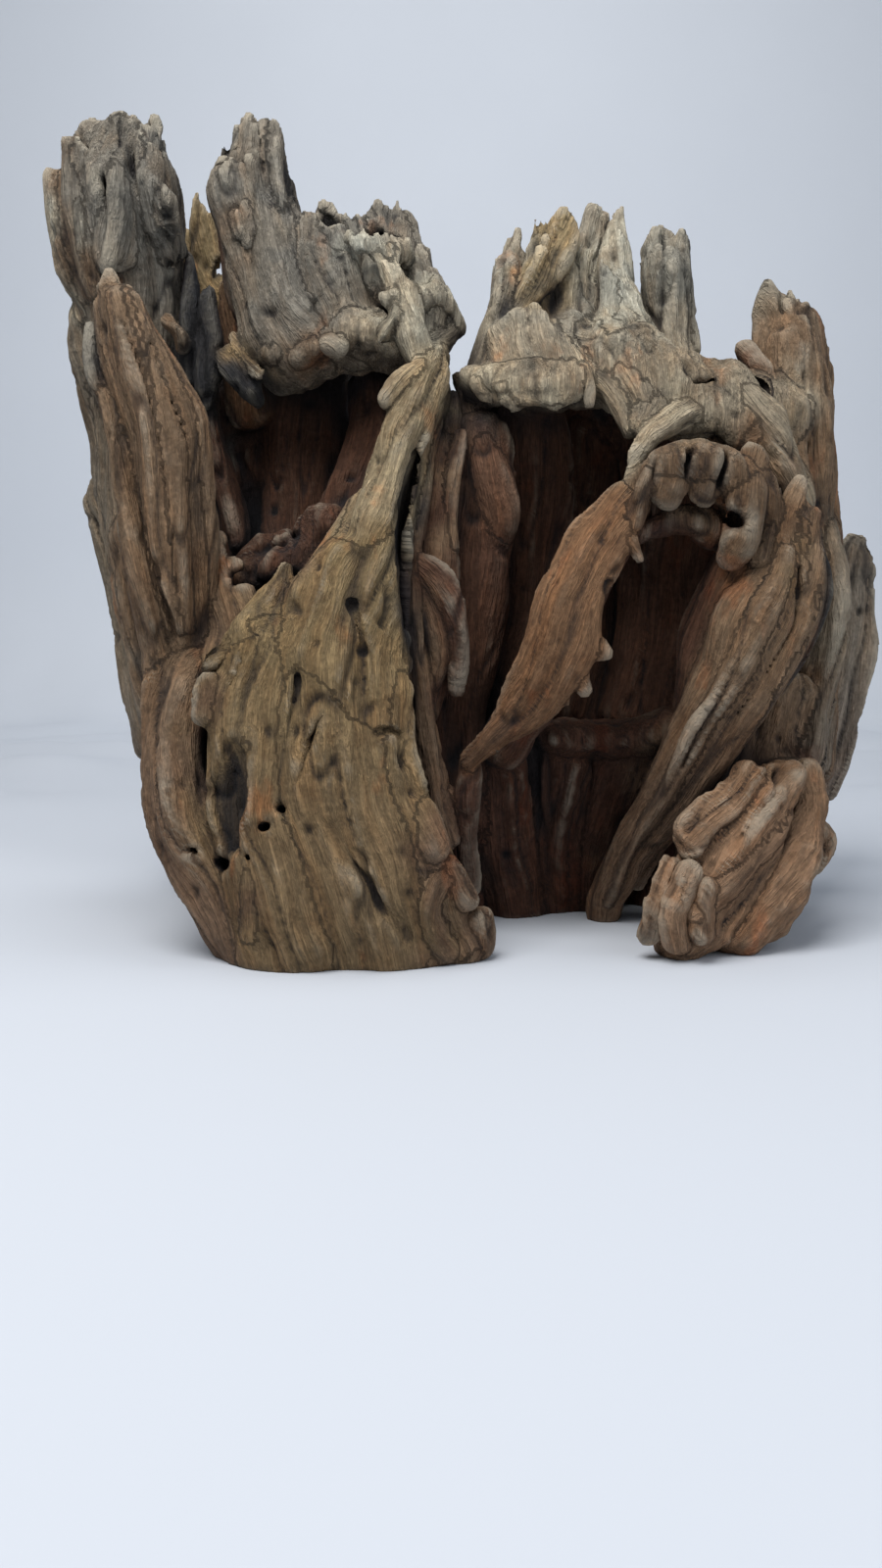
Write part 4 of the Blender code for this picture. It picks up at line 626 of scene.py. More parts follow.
def add_apron(wood):
    """The central ridge and the broad apron below it, with chips, cracks and beetle holes."""
    wood.add("char", 0.4, (-0.3, -2.4, 22.3, 0.55, 1.4), (-1.1, -3.4, 19.6, 0.6, 1.8),
             (-1.7, -4.4, 16.7, 0.6, 1.9), (-1.9, -5.6, 13.5, 0.6, 1.9), (-2, -6.4, 10.8, 0.6, 1.8))
    wood.add("ridge", 0.4, (-0.2, -3.2, 23.8, 0.5, 1), (-0.7, -3.9, 22.4, 0.85, 1.2),
             (-1.4, -4.7, 20.5, 0.95, 1.3), (-2, -5.6, 18.1, 0.95, 1.4), (-2.7, -6.5, 15.7, 1.1, 1.5),
             (-3, -7.4, 13, 0.9, 1.3), (-3, -8.2, 10.5, 0.3, 0.9))
    wood.add("olive", 0.5, (-2.1, -5.8, 17.2, 0.8, 1.3), (-2.7, -6.6, 15.2, 1.1, 1.5),
             (-3.4, -7.2, 13.6, 1.7, 1.6), (-4, -8, 11.6, 2.4, 1.6), (-3.8, -8.6, 9, 2.4, 1.6))
    wood.add("ridge", 0.12, (0.2, -3.6, 23.9, 0.18, 0.24), (-0.8, -4.7, 22.9, 0.26, 0.28),
             (-1.6, -5.3, 22.1, 0.3, 0.28), (-2.1, -5.6, 21.4, 0.2, 0.2))
    wood.add("tan", 0.5, (-3.4, -5.2, 17, 0.4, 0.6), (-4.2, -6.2, 15.2, 0.6, 0.8), (-5.1, -7, 13.5, 1.1, 1))
    wood.add("olive", 0.4, (-6.2, -6.4, 15, 0.2, 0.34), (-6.4, -6.9, 14.2, 0.5, 0.5),
             (-6.8, -7.4, 13.2, 0.8, 0.7), (-7, -7.9, 11.9, 1.2, 0.9))
    wood.add("olive", 0.5, (-6.4, -7.9, 12.3, 1.2, 0.8), (-6.9, -8.3, 10.1, 1.9, 1.2),
             (-6.8, -8.8, 7.1, 2, 1.4), (-6.3, -9.4, 3.9, 2, 1.5), (-5.5, -9.4, 0.7, 1.9, 1.5))
    wood.add("olive", 0.6, (-4.3, -7.4, 13.2, 1.3, 1), (-4.5, -8.4, 10.4, 2.2, 1.4),
             (-3.9, -9.3, 6.8, 2.3, 1.5), (-3.1, -9.6, 3.5, 2.3, 1.5), (-2.4, -9.2, 0.6, 2.2, 1.5))
    wood.add("tan", 0.5, (-9.5, -5.9, 11.5, 0.6, 0.7), (-10.3, -6.3, 10.2, 1.1, 1.3),
             (-10.3, -6.9, 7.3, 1.15, 1.6), (-9.4, -7.5, 4.3, 1.3, 1.8), (-8, -7.9, 1.6, 1.4, 1.8),
             (-7, -7.9, -0.5, 1.1, 1.6))
    wood.add("olive", 0.4, (-2.2, -8.2, 10.8, 0.7, 1), (-2, -8.8, 8.4, 0.8, 1.2), (-1.5, -9, 5.7, 1.1, 1.3),
             (-0.4, -8.8, 3, 1.3, 1.4), (0.5, -8.4, 0.8, 1.2, 1.3))
    wood.add("tan", 0.5, (-7, -9, 0.2, 0.7, 1), (-4.5, -9.4, 0.3, 0.7, 1), (-1.9, -9.2, 0.2, 0.7, 1),
             (0.8, -8.4, 0.4, 0.7, 1.1))
    wood.add("olive", 0.06, (-9.3, -8.1, 11, 0.36, 0.4), (-8.8, -8.3, 11.6, 0.55, 0.34),
             (-7.8, -8.4, 11.9, 0.4, 0.28))
    wood.add("tan", 0.3, (-8.9, -8.6, 10.5, 0.5, 0.34), (-8.8, -9, 9.2, 0.5, 0.3))
    wood.add("tan", 0.4, (-7.2, -9.8, 8.1, 0.34, 0.2), (-6.7, -10, 6.9, 0.4, 0.24),
             (-6.7, -10.4, 5.2, 0.42, 0.24), (-6.8, -10.6, 3.2, 0.42, 0.26), (-6.8, -10.4, 1.4, 0.44, 0.3))
    wood.add("rust", 0.2, (-7.9, -8.5, 11.8, 0.34, 0.16), (-8, -8.7, 11.1, 0.24, 0.14))
    wood.cut(0.5, (-7.6, -10.2, 7.7, 0.6, 0.6), (-7.8, -10.3, 6.3, 1.0, 0.9), (-7.9, -10.3, 4.9, 0.85, 0.8))
    wood.cut(0.7, (-5.4, -11.2, 12.4, 0.7, 0.8), (-5.2, -11.4, 10.2, 0.8, 0.8))
    wood.cut(0.8, (-3.4, -12, 6.6, 0.7, 0.9), (-3.9, -12, 4.4, 0.9, 0.9))
    wood.cut(0.06, (-7.5, -9.3, 11.8, 0.1, 0.55), (-7.8, -9.7, 10.7, 0.12, 0.65),
             (-8.2, -10.1, 9.5, 0.11, 0.55), (-8.6, -10.2, 8.3, 0.09, 0.4))
    wood.cut(0.06, (-9, -9.6, 9.7, 0.08, 0.35), (-8.4, -10.1, 9.6, 0.09, 0.35))
    wood.cut(0.08, (-4.4, -10.1, 9.1, 0.08, 0.35), (-4.7, -10.7, 8, 0.1, 0.45),
             (-4.9, -10.9, 6.9, 0.08, 0.35))
    wood.cut(0.4, (-5.4, -9.7, 10.8, 0.12, 0.2), (-5.5, -10.4, 8.4, 0.16, 0.24),
             (-5.2, -11, 5.6, 0.12, 0.2))
    wood.cut(0.4, (-3.3, -8.8, 13.4, 0.12, 0.2), (-3, -10, 10.5, 0.16, 0.24), (-2.6, -10.8, 7.3, 0.14, 0.2))
    wood.cut(0.4, (-3.5, -11, 5.2, 0.1, 0.2), (-2.8, -11, 3.4, 0.14, 0.24), (-1.4, -10.6, 1.2, 0.12, 0.2))
    for x, z, radius in ((-8.9, 4.6, 0.26), (-7.7, 4.1, 0.32), (-6.7, 4.3, 0.24), (-5.9, 5.4, 0.26),
                         (-5.3, 6.1, 0.2)):
        wood.cut(0.08, (x, -12.4, z, radius, radius), (x - 0.6, -8.6, z - 0.6, radius, radius), facing=UP)
    wood.add("tan", 0.15, (-0.9, -9.6, 5.6, 0.6, 0.6), (-0.4, -9.9, 4.4, 0.65, 0.65))
    wood.add("tan", 0.12, (0.4, -9.6, 3.5, 0.62, 0.6), (0.9, -9.5, 2.5, 0.6, 0.6))
    wood.add("tan", 0.12, (1.4, -9, 1.4, 0.6, 0.7), (1.5, -8.8, 0.5, 0.55, 0.6))
    wood.add("tan", 0.15, (-0.1, -10.2, 3.1, 0.45, 0.4), (-0.4, -10.3, 1.8, 0.4, 0.4),
             (0.2, -9.8, 0.5, 0.5, 0.4))
    wood.cut(0.15, (0.4, -10.5, 2.2, 0.3, 0.5), (0.7, -10.4, 1.2, 0.4, 0.5))
    wood.cut(0.1, (-2.4, -10.6, 8.5, 0.2, 0.3), (-2, -10.2, 8.8, 0.2, 0.4), (-1.6, -9.6, 8.6, 0.2, 0.4))
    wood.add("rust", 0.25, (-2.1, -9.9, 8.1, 0.3, 0.16), (-1.9, -10.1, 6.9, 0.34, 0.18))


def add_right_walls(wood):
    """The red walls of the right hollow and the shell that divides the two hollows."""
    wood.add("umber", 0.5, (1.7, -3, 20.8, 0.9, 0.8), (1.5, -2.6, 18.9, 1.4, 0.9),
             (1.3, -2.4, 16.1, 1.6, 1), (1, -2.6, 12.3, 1.6, 1.1), (0.6, -3, 8.6, 1.4, 1.2),
             (0.6, -3.2, 4.9, 1.2, 1.3))
    wood.add("umber", 0.6, (3.6, -1.2, 22.8, 1.6, 1), (3.6, -0.6, 20, 1.8, 1), (3.4, 0.2, 16.3, 1.9, 1.1),
             (2.9, 0.2, 12.4, 1.9, 1.1), (2.2, -0.8, 8.5, 1.7, 1.2), (1.8, -1.6, 4.2, 1.4, 1.2))
    wood.add("umber", 0.6, (6.6, 3, 22.8, 1.9, 1.1), (6.6, 4.4, 18.5, 2.1, 1.2), (6, 5, 13.9, 2.2, 1.2),
             (5.2, 4, 9.1, 2.2, 1.3))
    wood.add("umber", 0.6, (10.6, 1.6, 22.1, 2.2, 1.2), (11, 3.2, 18.3, 2.4, 1.3),
             (10.8, 4, 13.8, 2.4, 1.3), (9.8, 3, 8.7, 2.4, 1.4))
    wood.add("umber", 0.6, (14.2, 1.6, 20.3, 1.8, 1.2), (14.5, 2.4, 16.5, 2, 1.3),
             (14.2, 2.4, 11.9, 2, 1.4), (13.4, 1.4, 7.4, 2, 1.5))
    wood.add("umber", 0.3, (0.1, -3.3, 19.9, 0.6, 0.6), (-0.2, -4.1, 17.1, 0.85, 0.6),
             (-0.2, -4.7, 14.3, 0.9, 0.6), (-0.3, -5, 11.9, 0.8, 0.7), (-0.6, -4.8, 9.5, 0.7, 0.8))
    wood.add("tan", 0.2, (-0.2, -3.7, 21, 0.2, 0.3), (-0.6, -4.1, 20.1, 0.36, 0.5),
             (-1, -4.6, 18, 0.4, 0.8), (-1.2, -5, 15.8, 0.4, 0.9), (-1.2, -5.2, 12.7, 0.42, 1),
             (-1, -5.3, 10, 0.5, 1), (-0.6, -5, 7.1, 0.6, 1.1), (0, -4.6, 4.2, 0.7, 1.2),
             facing=(0.35, -1, 0))
    wood.add("tan", 0.15, (0.5, -2.2, 22.5, 0.22, 0.3), (0.4, -2.8, 21.2, 0.5, 0.5),
             (0.2, -3.2, 19.2, 0.6, 0.6))
    wood.add("char", 0.15, (1, -2, 23.4, 0.24, 0.3), (1.3, -2.5, 22.6, 0.42, 0.45),
             (1.5, -2.9, 21.2, 0.5, 0.5))
    wood.add("tan", 0.15, (0.8, -3.8, 20.6, 0.2, 0.22), (0.5, -4.3, 18.2, 0.26, 0.26),
             (0.5, -4.6, 15.9, 0.24, 0.24))
    wood.add("umber", 0.2, (-1, -5.6, 15.3, 0.3, 0.22), (-0.3, -5.8, 14.8, 0.4, 0.24),
             (0.3, -6, 13.9, 0.4, 0.22), (0.7, -6, 12.7, 0.28, 0.2), (0.8, -5.8, 11.5, 0.18, 0.16),
             (0.7, -5.5, 10.3, 0.09, 0.09))
    wood.add("umber", 0.15, (-0.8, -5.5, 14.6, 0.3, 0.3), (-0.2, -5.8, 13.1, 0.4, 0.3),
             (0, -5.6, 11.5, 0.34, 0.3), (-0.4, -5.4, 10.1, 0.2, 0.2))
    wood.cut(0.12, (-1.7, -7.6, 10.2, 0.22, 0.6), (-1.4, -7.2, 10.7, 0.3, 0.7), (-1, -6.6, 10.8, 0.2, 0.6))
    wood.cut(0.1, (-0.7, -5.2, 20.4, 0.12, 0.9), (-1.2, -5.9, 18, 0.16, 1), (-1.5, -6.8, 15.3, 0.17, 1.1),
             (-1.5, -7.2, 12.7, 0.16, 1.1))
    wood.add("rust", 0.4, (1.6, -3.5, 20.3, 0.3, 0.3), (1.9, -3.6, 18.7, 0.6, 0.36),
             (2.4, -3.2, 17.2, 0.5, 0.36), (2.3, -2.8, 16.2, 0.2, 0.25))
    wood.cut(0.3, (2.5, -2.6, 19.8, 0.26, 0.5), (3.1, -2.2, 18.8, 0.3, 0.5))


def add_right_crest(wood):
    """The broken spires, the post, and the fibrous block of the right crest."""
    wood.add("ash", 0.25, (3.3, -0.5, 30.3, 0.18, 0.3), (3, -0.9, 28.9, 0.45, 0.6),
             (2.8, -1.5, 27.1, 0.7, 0.9), (2.5, -2.2, 25.1, 0.95, 1), (1.9, -3, 23.1, 1, 1))
    wood.add("ash", 0.5, (4.7, -0.3, 28.6, 1.1, 1), (4.8, -0.9, 26.9, 1.7, 1.2),
             (4.9, -1.8, 24.8, 2.1, 1.4), (4.7, -2.8, 23, 2, 1.4))
    wood.add("light", 0.1, (4.8, -1.1, 30.1, 0.9, 0.45), (4.4, -1.7, 28.9, 1.05, 0.55),
             (3.9, -2.2, 27.6, 0.75, 0.5), (3.3, -2.5, 26.4, 0.3, 0.4), facing=(-0.3, -1, 0.2))
    wood.add("light", 0.08, (4, -0.9, 30.6, 0.1, 0.12), (4, -1.2, 29.7, 0.26, 0.3))
    wood.cut(0.3, (3.2, -3.1, 25.9, 0.16, 0.5), (4.1, -3, 26.8, 0.24, 0.5), (5.2, -2.5, 28, 0.26, 0.5))
    wood.add("ash", 0.2, (6.7, 0.2, 30.9, 0.34, 0.36), (6.5, 0, 29.8, 0.5, 0.55),
             (6.2, -0.6, 27.9, 0.75, 0.8), (6, -1.2, 26, 1, 1))
    wood.add("pale", 0.2, (7.5, -1, 30.2, 0.36, 0.4), (7.5, -1.3, 29.1, 0.56, 0.5),
             (7.5, -1.7, 27.6, 0.68, 0.65), (7.8, -2.2, 25.9, 0.75, 0.75), (8.3, -2.8, 24.4, 0.85, 0.85),
             (8.8, -3.4, 22.9, 0.85, 0.85))
    wood.add("pale", 0.2, (6.8, -2.1, 28.5, 0.2, 0.26), (7, -2.7, 26.9, 0.3, 0.34),
             (6.9, -3.3, 25.2, 0.38, 0.4), (7.1, -3.9, 23.7, 0.42, 0.42), (7.5, -4.4, 22.3, 0.42, 0.42),
             (7.9, -4.9, 21, 0.42, 0.42))
    wood.add("pale", 0.12, (7.3, -3.4, 25.5, 0.3, 0.3), (7.6, -3.4, 25.4, 0.3, 0.3))
    wood.cut(0.15, (7.5, -4, 24.7, 0.22, 0.45), (7.5, -4.1, 23.8, 0.18, 0.4))
    wood.add("ash", 0.12, (9.6, -0.6, 29.5, 0.9, 0.75), (9.5, -0.8, 28.5, 1, 0.85),
             (9.6, -0.9, 26.9, 0.92, 0.85), (9.8, -1.4, 24.9, 0.8, 0.85), (10.4, -2.4, 22.9, 0.78, 0.85),
             (10.9, -3.2, 21.4, 0.75, 0.9))
    wood.add("ash", 0.12, (10.3, -0.4, 29.3, 0.36, 0.5), (10.4, -0.5, 27, 0.36, 0.5),
             (10.7, -0.9, 24.8, 0.28, 0.55))
    wood.cut(0.08, (9.6, -1.7, 28, 0.05, 0.2), (9.6, -2, 27, 0.09, 0.3), (9.8, -2.5, 25, 0.1, 0.35))
    wood.cut(0.08, (9, -1.7, 29.7, 0.07, 0.25), (8.9, -1.8, 27.4, 0.08, 0.25),
             (9.2, -2.2, 25.3, 0.08, 0.25))
    wood.cut(0.12, (8.4, -3.1, 25.4, 0.12, 0.6), (8.7, -3.7, 24.1, 0.16, 0.7), (9.2, -4.3, 22.7, 0.2, 0.6),
             (9.7, -4.6, 21.5, 0.16, 0.5))
    wood.cut(0.1, (8.7, -4.9, 22.9, 0.2, 0.4), (9.1, -3.8, 23.1, 0.2, 0.3))
    wood.add("ash", 0.6, (6.1, -2.2, 24.3, 1.5, 1.4), (7.8, -3.2, 22.9, 1.8, 1.5), (10, -3.4, 22, 1.8, 1.5),
             (12, -2.8, 21.9, 1.7, 1.5), (14.1, -1.8, 21.4, 1.9, 1.6))
    wood.add("ash", 0.15, (11.8, -1.4, 24.1, 0.3, 0.3), (11.9, -1.4, 24, 0.26, 0.3))
    wood.add("tan", 0.35, (14.1, -0.8, 27, 0.5, 0.7), (14.6, -0.9, 26.1, 1, 0.95),
             (14.7, -1.2, 24.8, 1.3, 1.15), (14.7, -1.5, 22.7, 1.55, 1.35), (14.9, -1.6, 20.6, 1.6, 1.45),
             (15.3, -1.5, 18.2, 1.55, 1.5), (15.9, -0.9, 15.3, 1.2, 1.6))
    wood.add("ash", 0.12, (13.9, -0.8, 27.4, 0.16, 0.3), (14.1, -0.8, 26.6, 0.4, 0.5))
    wood.add("ash", 0.12, (14.9, -0.5, 27.5, 0.16, 0.3), (15.2, -0.5, 26.7, 0.4, 0.6))
    wood.add("tan", 0.4, (15.8, -0.2, 26.2, 0.3, 0.6), (16.4, 0, 24.2, 0.36, 0.9),
             (16.7, 0.2, 21.4, 0.42, 1), (17.1, 0.4, 18, 0.42, 1.1), (17.4, 0.8, 14.6, 0.5, 1.2),
             (17.2, 0.8, 10.6, 0.7, 1.3), (16.7, 0, 6.7, 0.9, 1.6))
    wood.cut(0.12, (14.4, -1.2, 27.3, 0.09, 0.4), (14.4, -1.6, 26.7, 0.08, 0.3))
    wood.cut(0.2, (14.8, -2.2, 25.2, 0.06, 0.2), (15, -2.9, 22.4, 0.08, 0.25), (15.4, -3, 19.2, 0.08, 0.25))
    wood.add("rust", 0.08, (12.7, -2, 24.7, 0.2, 0.24), (13.1, -2.7, 23.7, 0.26, 0.24),
             (13.5, -3.2, 22.6, 0.3, 0.26), (13.7, -3.4, 21.6, 0.26, 0.24), (14.1, -3.3, 21, 0.1, 0.12))
    wood.add("orange", 0.12, (13.1, -4, 20.8, 0.4, 0.34), (12.4, -4.5, 20.3, 0.5, 0.36),
             (11.9, -4.6, 20.1, 0.2, 0.2))
    wood.cut(0.25, (12.8, -3.4, 22.8, 0.26, 0.4), (12.9, -3.8, 21.9, 0.3, 0.4))
    wood.add("ash", 0.3, (9.5, -3.9, 21.7, 0.9, 0.8), (10.5, -4.2, 21.2, 0.9, 0.8),
             (11.7, -4.2, 20.6, 0.9, 0.8))
    wood.add("ash", 0.4, (11.4, -3.6, 22.1, 0.9, 0.8), (12.3, -3.9, 21, 1, 0.9), (13.4, -3.8, 19.7, 0.9, 1),
             (14.7, -3.2, 18, 1, 1.1))
    for x in (10.2, 10.6):
        wood.cut(0.05, (x, -4.8, 22.5, 0.12, 0.3), (x + 0.2, -3.9, 22.6, 0.12, 0.3))


def add_lip(wood):
    """The ragged lip of the right crest over the hollow, with teeth and a peg."""
    wood.add("ash", 0.5, (3.4, -2.9, 25.2, 1.4, 0.9), (3.6, -3.5, 24.2, 1.6, 0.9),
             (3.7, -4.2, 23.2, 1.7, 0.7))
    wood.add("pale", 0.45, (1.4, -3.6, 22.9, 0.5, 0.5), (2.4, -4.4, 22.7, 0.8, 0.5),
             (3.5, -4.9, 22.4, 0.9, 0.45), (4.7, -4.8, 22.3, 0.8, 0.42), (5.5, -4.5, 22.5, 0.5, 0.4))
    for x, y, z, reach in ((1.9, -4.4, 22.2, 0.3), (2.8, -4.9, 21.9, 0.6), (4.2, -5, 21.9, 0.5)):
        wood.add("pale", 0.3, (x, y, z + 0.5, 0.6, 0.24), (x + 0.1, y, z - 0.1, 0.5, 0.16),
                 (x + 0.2, y + 0.1, z - reach, 0.08, 0.06))
    wood.add("tan", 0.08, (5.5, -4.7, 22.9, 0.2, 0.24), (5.7, -4.9, 22, 0.15, 0.18),
             (5.7, -4.9, 21.3, 0.09, 0.1))
    wood.add("grey", 0.2, (6, -4, 22.6, 0.4, 0.55), (6.6, -4.4, 22.1, 0.36, 0.5),
             (7, -4.7, 21.2, 0.34, 0.45), (7.2, -5, 20.2, 0.28, 0.36))
    wood.cut(0.25, (1.9, -4.9, 22.3, 0.1, 0.3), (3.1, -5.6, 21.8, 0.14, 0.3), (4.2, -5.6, 21.9, 0.12, 0.3))
    wood.add("grey", 0.25, (8.3, -4.4, 21.6, 0.8, 0.6), (7.8, -5.2, 20.4, 0.6, 0.5))
    wood.add("pale", 0.2, (9.8, -4.6, 21.1, 0.6, 0.6), (9, -5.2, 20.5, 0.68, 0.6),
             (8.1, -5.7, 19.9, 0.58, 0.55), (7.6, -6, 19.2, 0.34, 0.36), (7.3, -6.1, 18.6, 0.14, 0.14))


def add_arch(wood):
    """The arched root with its cracked blocks, its orange leg, and the slanting limb."""
    wood.add("brown", 0.3, (7.8, -6.2, 18, 0.75, 0.8), (8.6, -6.5, 18.5, 0.95, 1),
             (9.6, -6.6, 18.7, 1, 1.1), (10.8, -6.5, 18.5, 1, 1.1), (11.9, -6.2, 17.9, 1.05, 1),
             (12.6, -5.7, 16.5, 1, 1))
    wood.add("umber", 0.25, (7.8, -6, 16.2, 0.4, 0.5), (9.3, -5.8, 16.8, 0.55, 0.7),
             (10.7, -5.6, 16.5, 0.6, 0.7))
    wood.add("brown", 0.08, (8, -6.7, 18.7, 0.34, 0.36), (7.7, -7.2, 17.7, 0.38, 0.4),
             (7.5, -7, 16.5, 0.3, 0.3))
    wood.add("brown", 0.12, (9, -6.6, 19.2, 0.85, 0.4), (8.8, -7.1, 18.2, 0.85, 0.4),
             (8.6, -7, 17.5, 0.6, 0.36))
    wood.add("brown", 0.12, (10.3, -6.5, 19.3, 0.7, 0.4), (10.1, -7.1, 18.2, 0.7, 0.4),
             (10, -7, 17.5, 0.55, 0.36))
    wood.add("brown", 0.12, (12, -6.2, 19, 0.55, 0.55), (11.6, -7, 17.7, 0.8, 0.6),
             (11.4, -6.9, 16.4, 0.7, 0.55), (11.2, -6.5, 15.6, 0.36, 0.36))
    wood.cut(0.06, (8.2, -7.4, 18.8, 0.08, 0.55), (8, -8, 17.8, 0.1, 0.55), (7.8, -7.7, 16.9, 0.08, 0.45))
    wood.cut(0.06, (9.5, -7.3, 19.1, 0.07, 0.45), (9.2, -8, 17.9, 0.08, 0.45), (9, -7.7, 16.9, 0.07, 0.35))
    wood.cut(0.06, (10.7, -7.2, 19, 0.1, 0.65), (10.5, -7.9, 17.8, 0.12, 0.65),
             (10.4, -7.4, 16.4, 0.12, 0.55))
    wood.cut(0.12, (9.1, -7.4, 16.5, 0.3, 0.5), (10, -7.2, 16.5, 0.34, 0.5))
    wood.cut(0.08, (10.8, -8.8, 16.6, 0.4, 0.4), (11.5, -5.8, 16.9, 0.38, 0.38), facing=UP)
    wood.cut(0.1, (8, -6.2, 19, 0.18, 0.5), (9.1, -6.2, 19.6, 0.18, 0.6), (10.3, -5.9, 19.8, 0.18, 0.6),
             (11.5, -5.5, 19.4, 0.18, 0.6))
    wood.add("umber", 0.3, (7.5, -5, 17, 0.8, 1.2), (5.9, -5.2, 14.3, 0.9, 1.3),
             (4.4, -4.8, 11.1, 0.9, 1.3), (2.5, -4, 7.9, 0.9, 1.2))
    wood.add("orange", 0.2, (7.3, -6.4, 17.4, 0.9, 0.55), (6.2, -6.8, 15.8, 1.2, 0.6),
             (5.2, -7.1, 13.7, 1.35, 0.6), (4.8, -7.1, 12.2, 1.4, 0.6), (4, -6.9, 10.7, 1.25, 0.55),
             (3, -6.5, 9.3, 0.95, 0.5), (2, -6.1, 8.3, 0.65, 0.45), (1.1, -5.6, 7.4, 0.5, 0.42),
             facing=(-0.35, -1, 0))
    wood.add("orange", 0.1, (7.4, -7.1, 15.8, 0.36, 0.26), (7.8, -7, 15.2, 0.1, 0.12))
    wood.add("orange", 0.1, (5.9, -7.3, 11.9, 0.45, 0.3), (6.5, -7.2, 11.6, 0.14, 0.14))
    wood.add("orange", 0.08, (5.4, -7.2, 11, 0.36, 0.26), (5.7, -7.1, 10.3, 0.1, 0.1))
    wood.add("orange", 0.08, (4.7, -7.1, 10.5, 0.34, 0.26), (5, -7, 9.9, 0.1, 0.1))
    wood.add("orange", 0.08, (2.6, -6.5, 8.8, 0.34, 0.26), (2.1, -6.2, 7.7, 0.1, 0.1))
    wood.cut(0.1, (6.7, -7.6, 14, 0.24, 0.6), (6.9, -7.4, 13.7, 0.3, 0.6))
    wood.add("umber", 0.15, (1.1, -5.4, 7.2, 0.5, 0.4), (1, -5.2, 5.8, 0.55, 0.4),
             (1.1, -4.8, 4.3, 0.45, 0.36), (1.3, -4.4, 2.8, 0.36, 0.34), (1.3, -4.1, 1.7, 0.3, 0.3))
    wood.add("umber", 0.1, (-0.4, -5, 6.6, 0.16, 0.16), (0.2, -5.2, 6.1, 0.3, 0.22),
             (1, -5.2, 5.5, 0.4, 0.3))
    wood.add("umber", 0.4, (12.6, -5.2, 16.4, 0.9, 1.1), (11.9, -5, 14.3, 1.1, 1.3),
             (11.4, -4.6, 11.9, 1.1, 1.4), (10.9, -4, 9.5, 1, 1.4))
    wood.add("umber", 0.4, (4.7, -2.4, 8.1, 0.6, 1), (6.4, -2, 8.1, 0.8, 1.2), (8.1, -2, 8.1, 0.8, 1.2),
             (9.7, -2.6, 8.5, 0.8, 1.2))
    wood.add("tan", 0.3, (14, -5.6, 16.9, 0.85, 0.9), (13.5, -6.1, 15.2, 1.2, 1.1),
             (12.6, -6.5, 12.9, 1.75, 1.25), (11.9, -6.2, 10.5, 1.6, 1.3), (10.7, -5.4, 8.1, 1.4, 1.3),
             (9.1, -4.2, 5.3, 1.1, 1.2), (8, -3.2, 3.1, 0.95, 1.05), (7.3, -2.2, 0.8, 0.88, 0.95),
             (7.2, -2, 0.1, 0.8, 0.9))
    wood.add("tan", 0.15, (14.1, -5.6, 18.5, 0.1, 0.14), (13.7, -6, 17.6, 0.28, 0.32),
             (13.2, -6.7, 16.1, 0.36, 0.4))
    wood.add("tan", 0.15, (13.2, -5.9, 18.1, 0.1, 0.14), (12.8, -6.3, 17, 0.28, 0.32),
             (12.2, -6.8, 15.5, 0.36, 0.4))
    wood.add("olive", 0.15, (13.9, -6, 17.6, 0.14, 0.18), (13.9, -6.4, 16.5, 0.34, 0.36),
             (13.5, -7, 14.6, 0.45, 0.45))
    wood.add("tan", 0.2, (13.2, -7, 15.7, 0.3, 0.34), (12.2, -7.5, 13.4, 0.42, 0.42),
             (11.3, -7.4, 10.8, 0.42, 0.42), (9.8, -6.6, 8, 0.38, 0.4), (8.6, -5.3, 5.2, 0.3, 0.36),
             (7.7, -4.2, 2.9, 0.26, 0.3), (7.3, -3.1, 0.9, 0.26, 0.3))
    wood.add("tan", 0.18, (14.2, -6.4, 15.7, 0.3, 0.36), (13.8, -6.9, 13.4, 0.42, 0.42),
             (13.1, -6.9, 10.8, 0.42, 0.45), (11.9, -6.2, 8.4, 0.4, 0.42), (10.7, -5.2, 6.7, 0.34, 0.4),
             (9.5, -4, 4.1, 0.3, 0.34), (8.6, -2.8, 1.6, 0.26, 0.3))
    wood.add("char", 0.08, (14.5, -5.9, 16.7, 0.34, 0.34), (14.7, -6.2, 14.6, 0.38, 0.42),
             (14.5, -6.3, 13.4, 0.34, 0.4), (13.9, -6.5, 11.5, 0.32, 0.38), (13.4, -6.2, 10.1, 0.28, 0.34))
    wood.cut(0.12, (12.6, -8, 14.5, 0.09, 0.35), (11.7, -8.2, 12.3, 0.12, 0.4),
             (10.8, -7.8, 9.9, 0.12, 0.4), (9.5, -6.6, 7.1, 0.1, 0.35))
    wood.cut(0.1, (13.6, -7.2, 15.1, 0.08, 0.35), (13.3, -7.6, 13, 0.1, 0.35),
             (12.6, -7.7, 11.2, 0.1, 0.35), (11.6, -7, 9.2, 0.1, 0.35))


def add_right_side(wood):
    """The outer wall on the right and the flat fin that stands off behind it."""
    wood.add("grey", 0.5, (16.7, -1, 17, 0.55, 1.6), (16.9, -0.6, 13.7, 0.6, 1.9), (16.2, -1, 10.2, 0.8, 2),
             (15.6, -2, 7.5, 1, 2), (14.7, -3, 4.8, 1.1, 1.8))
    wood.add("fin", 0.3, (20.4, 6, 17.4, 0.55, 0.26), (20.2, 6.1, 16.1, 1.45, 0.36),
             (20.1, 6, 12.9, 1.5, 0.45), (19.5, 5.6, 10, 1.6, 0.55), (18.8, 5, 7.4, 1.5, 0.6),
             (18, 4, 5.3, 1.3, 0.8))


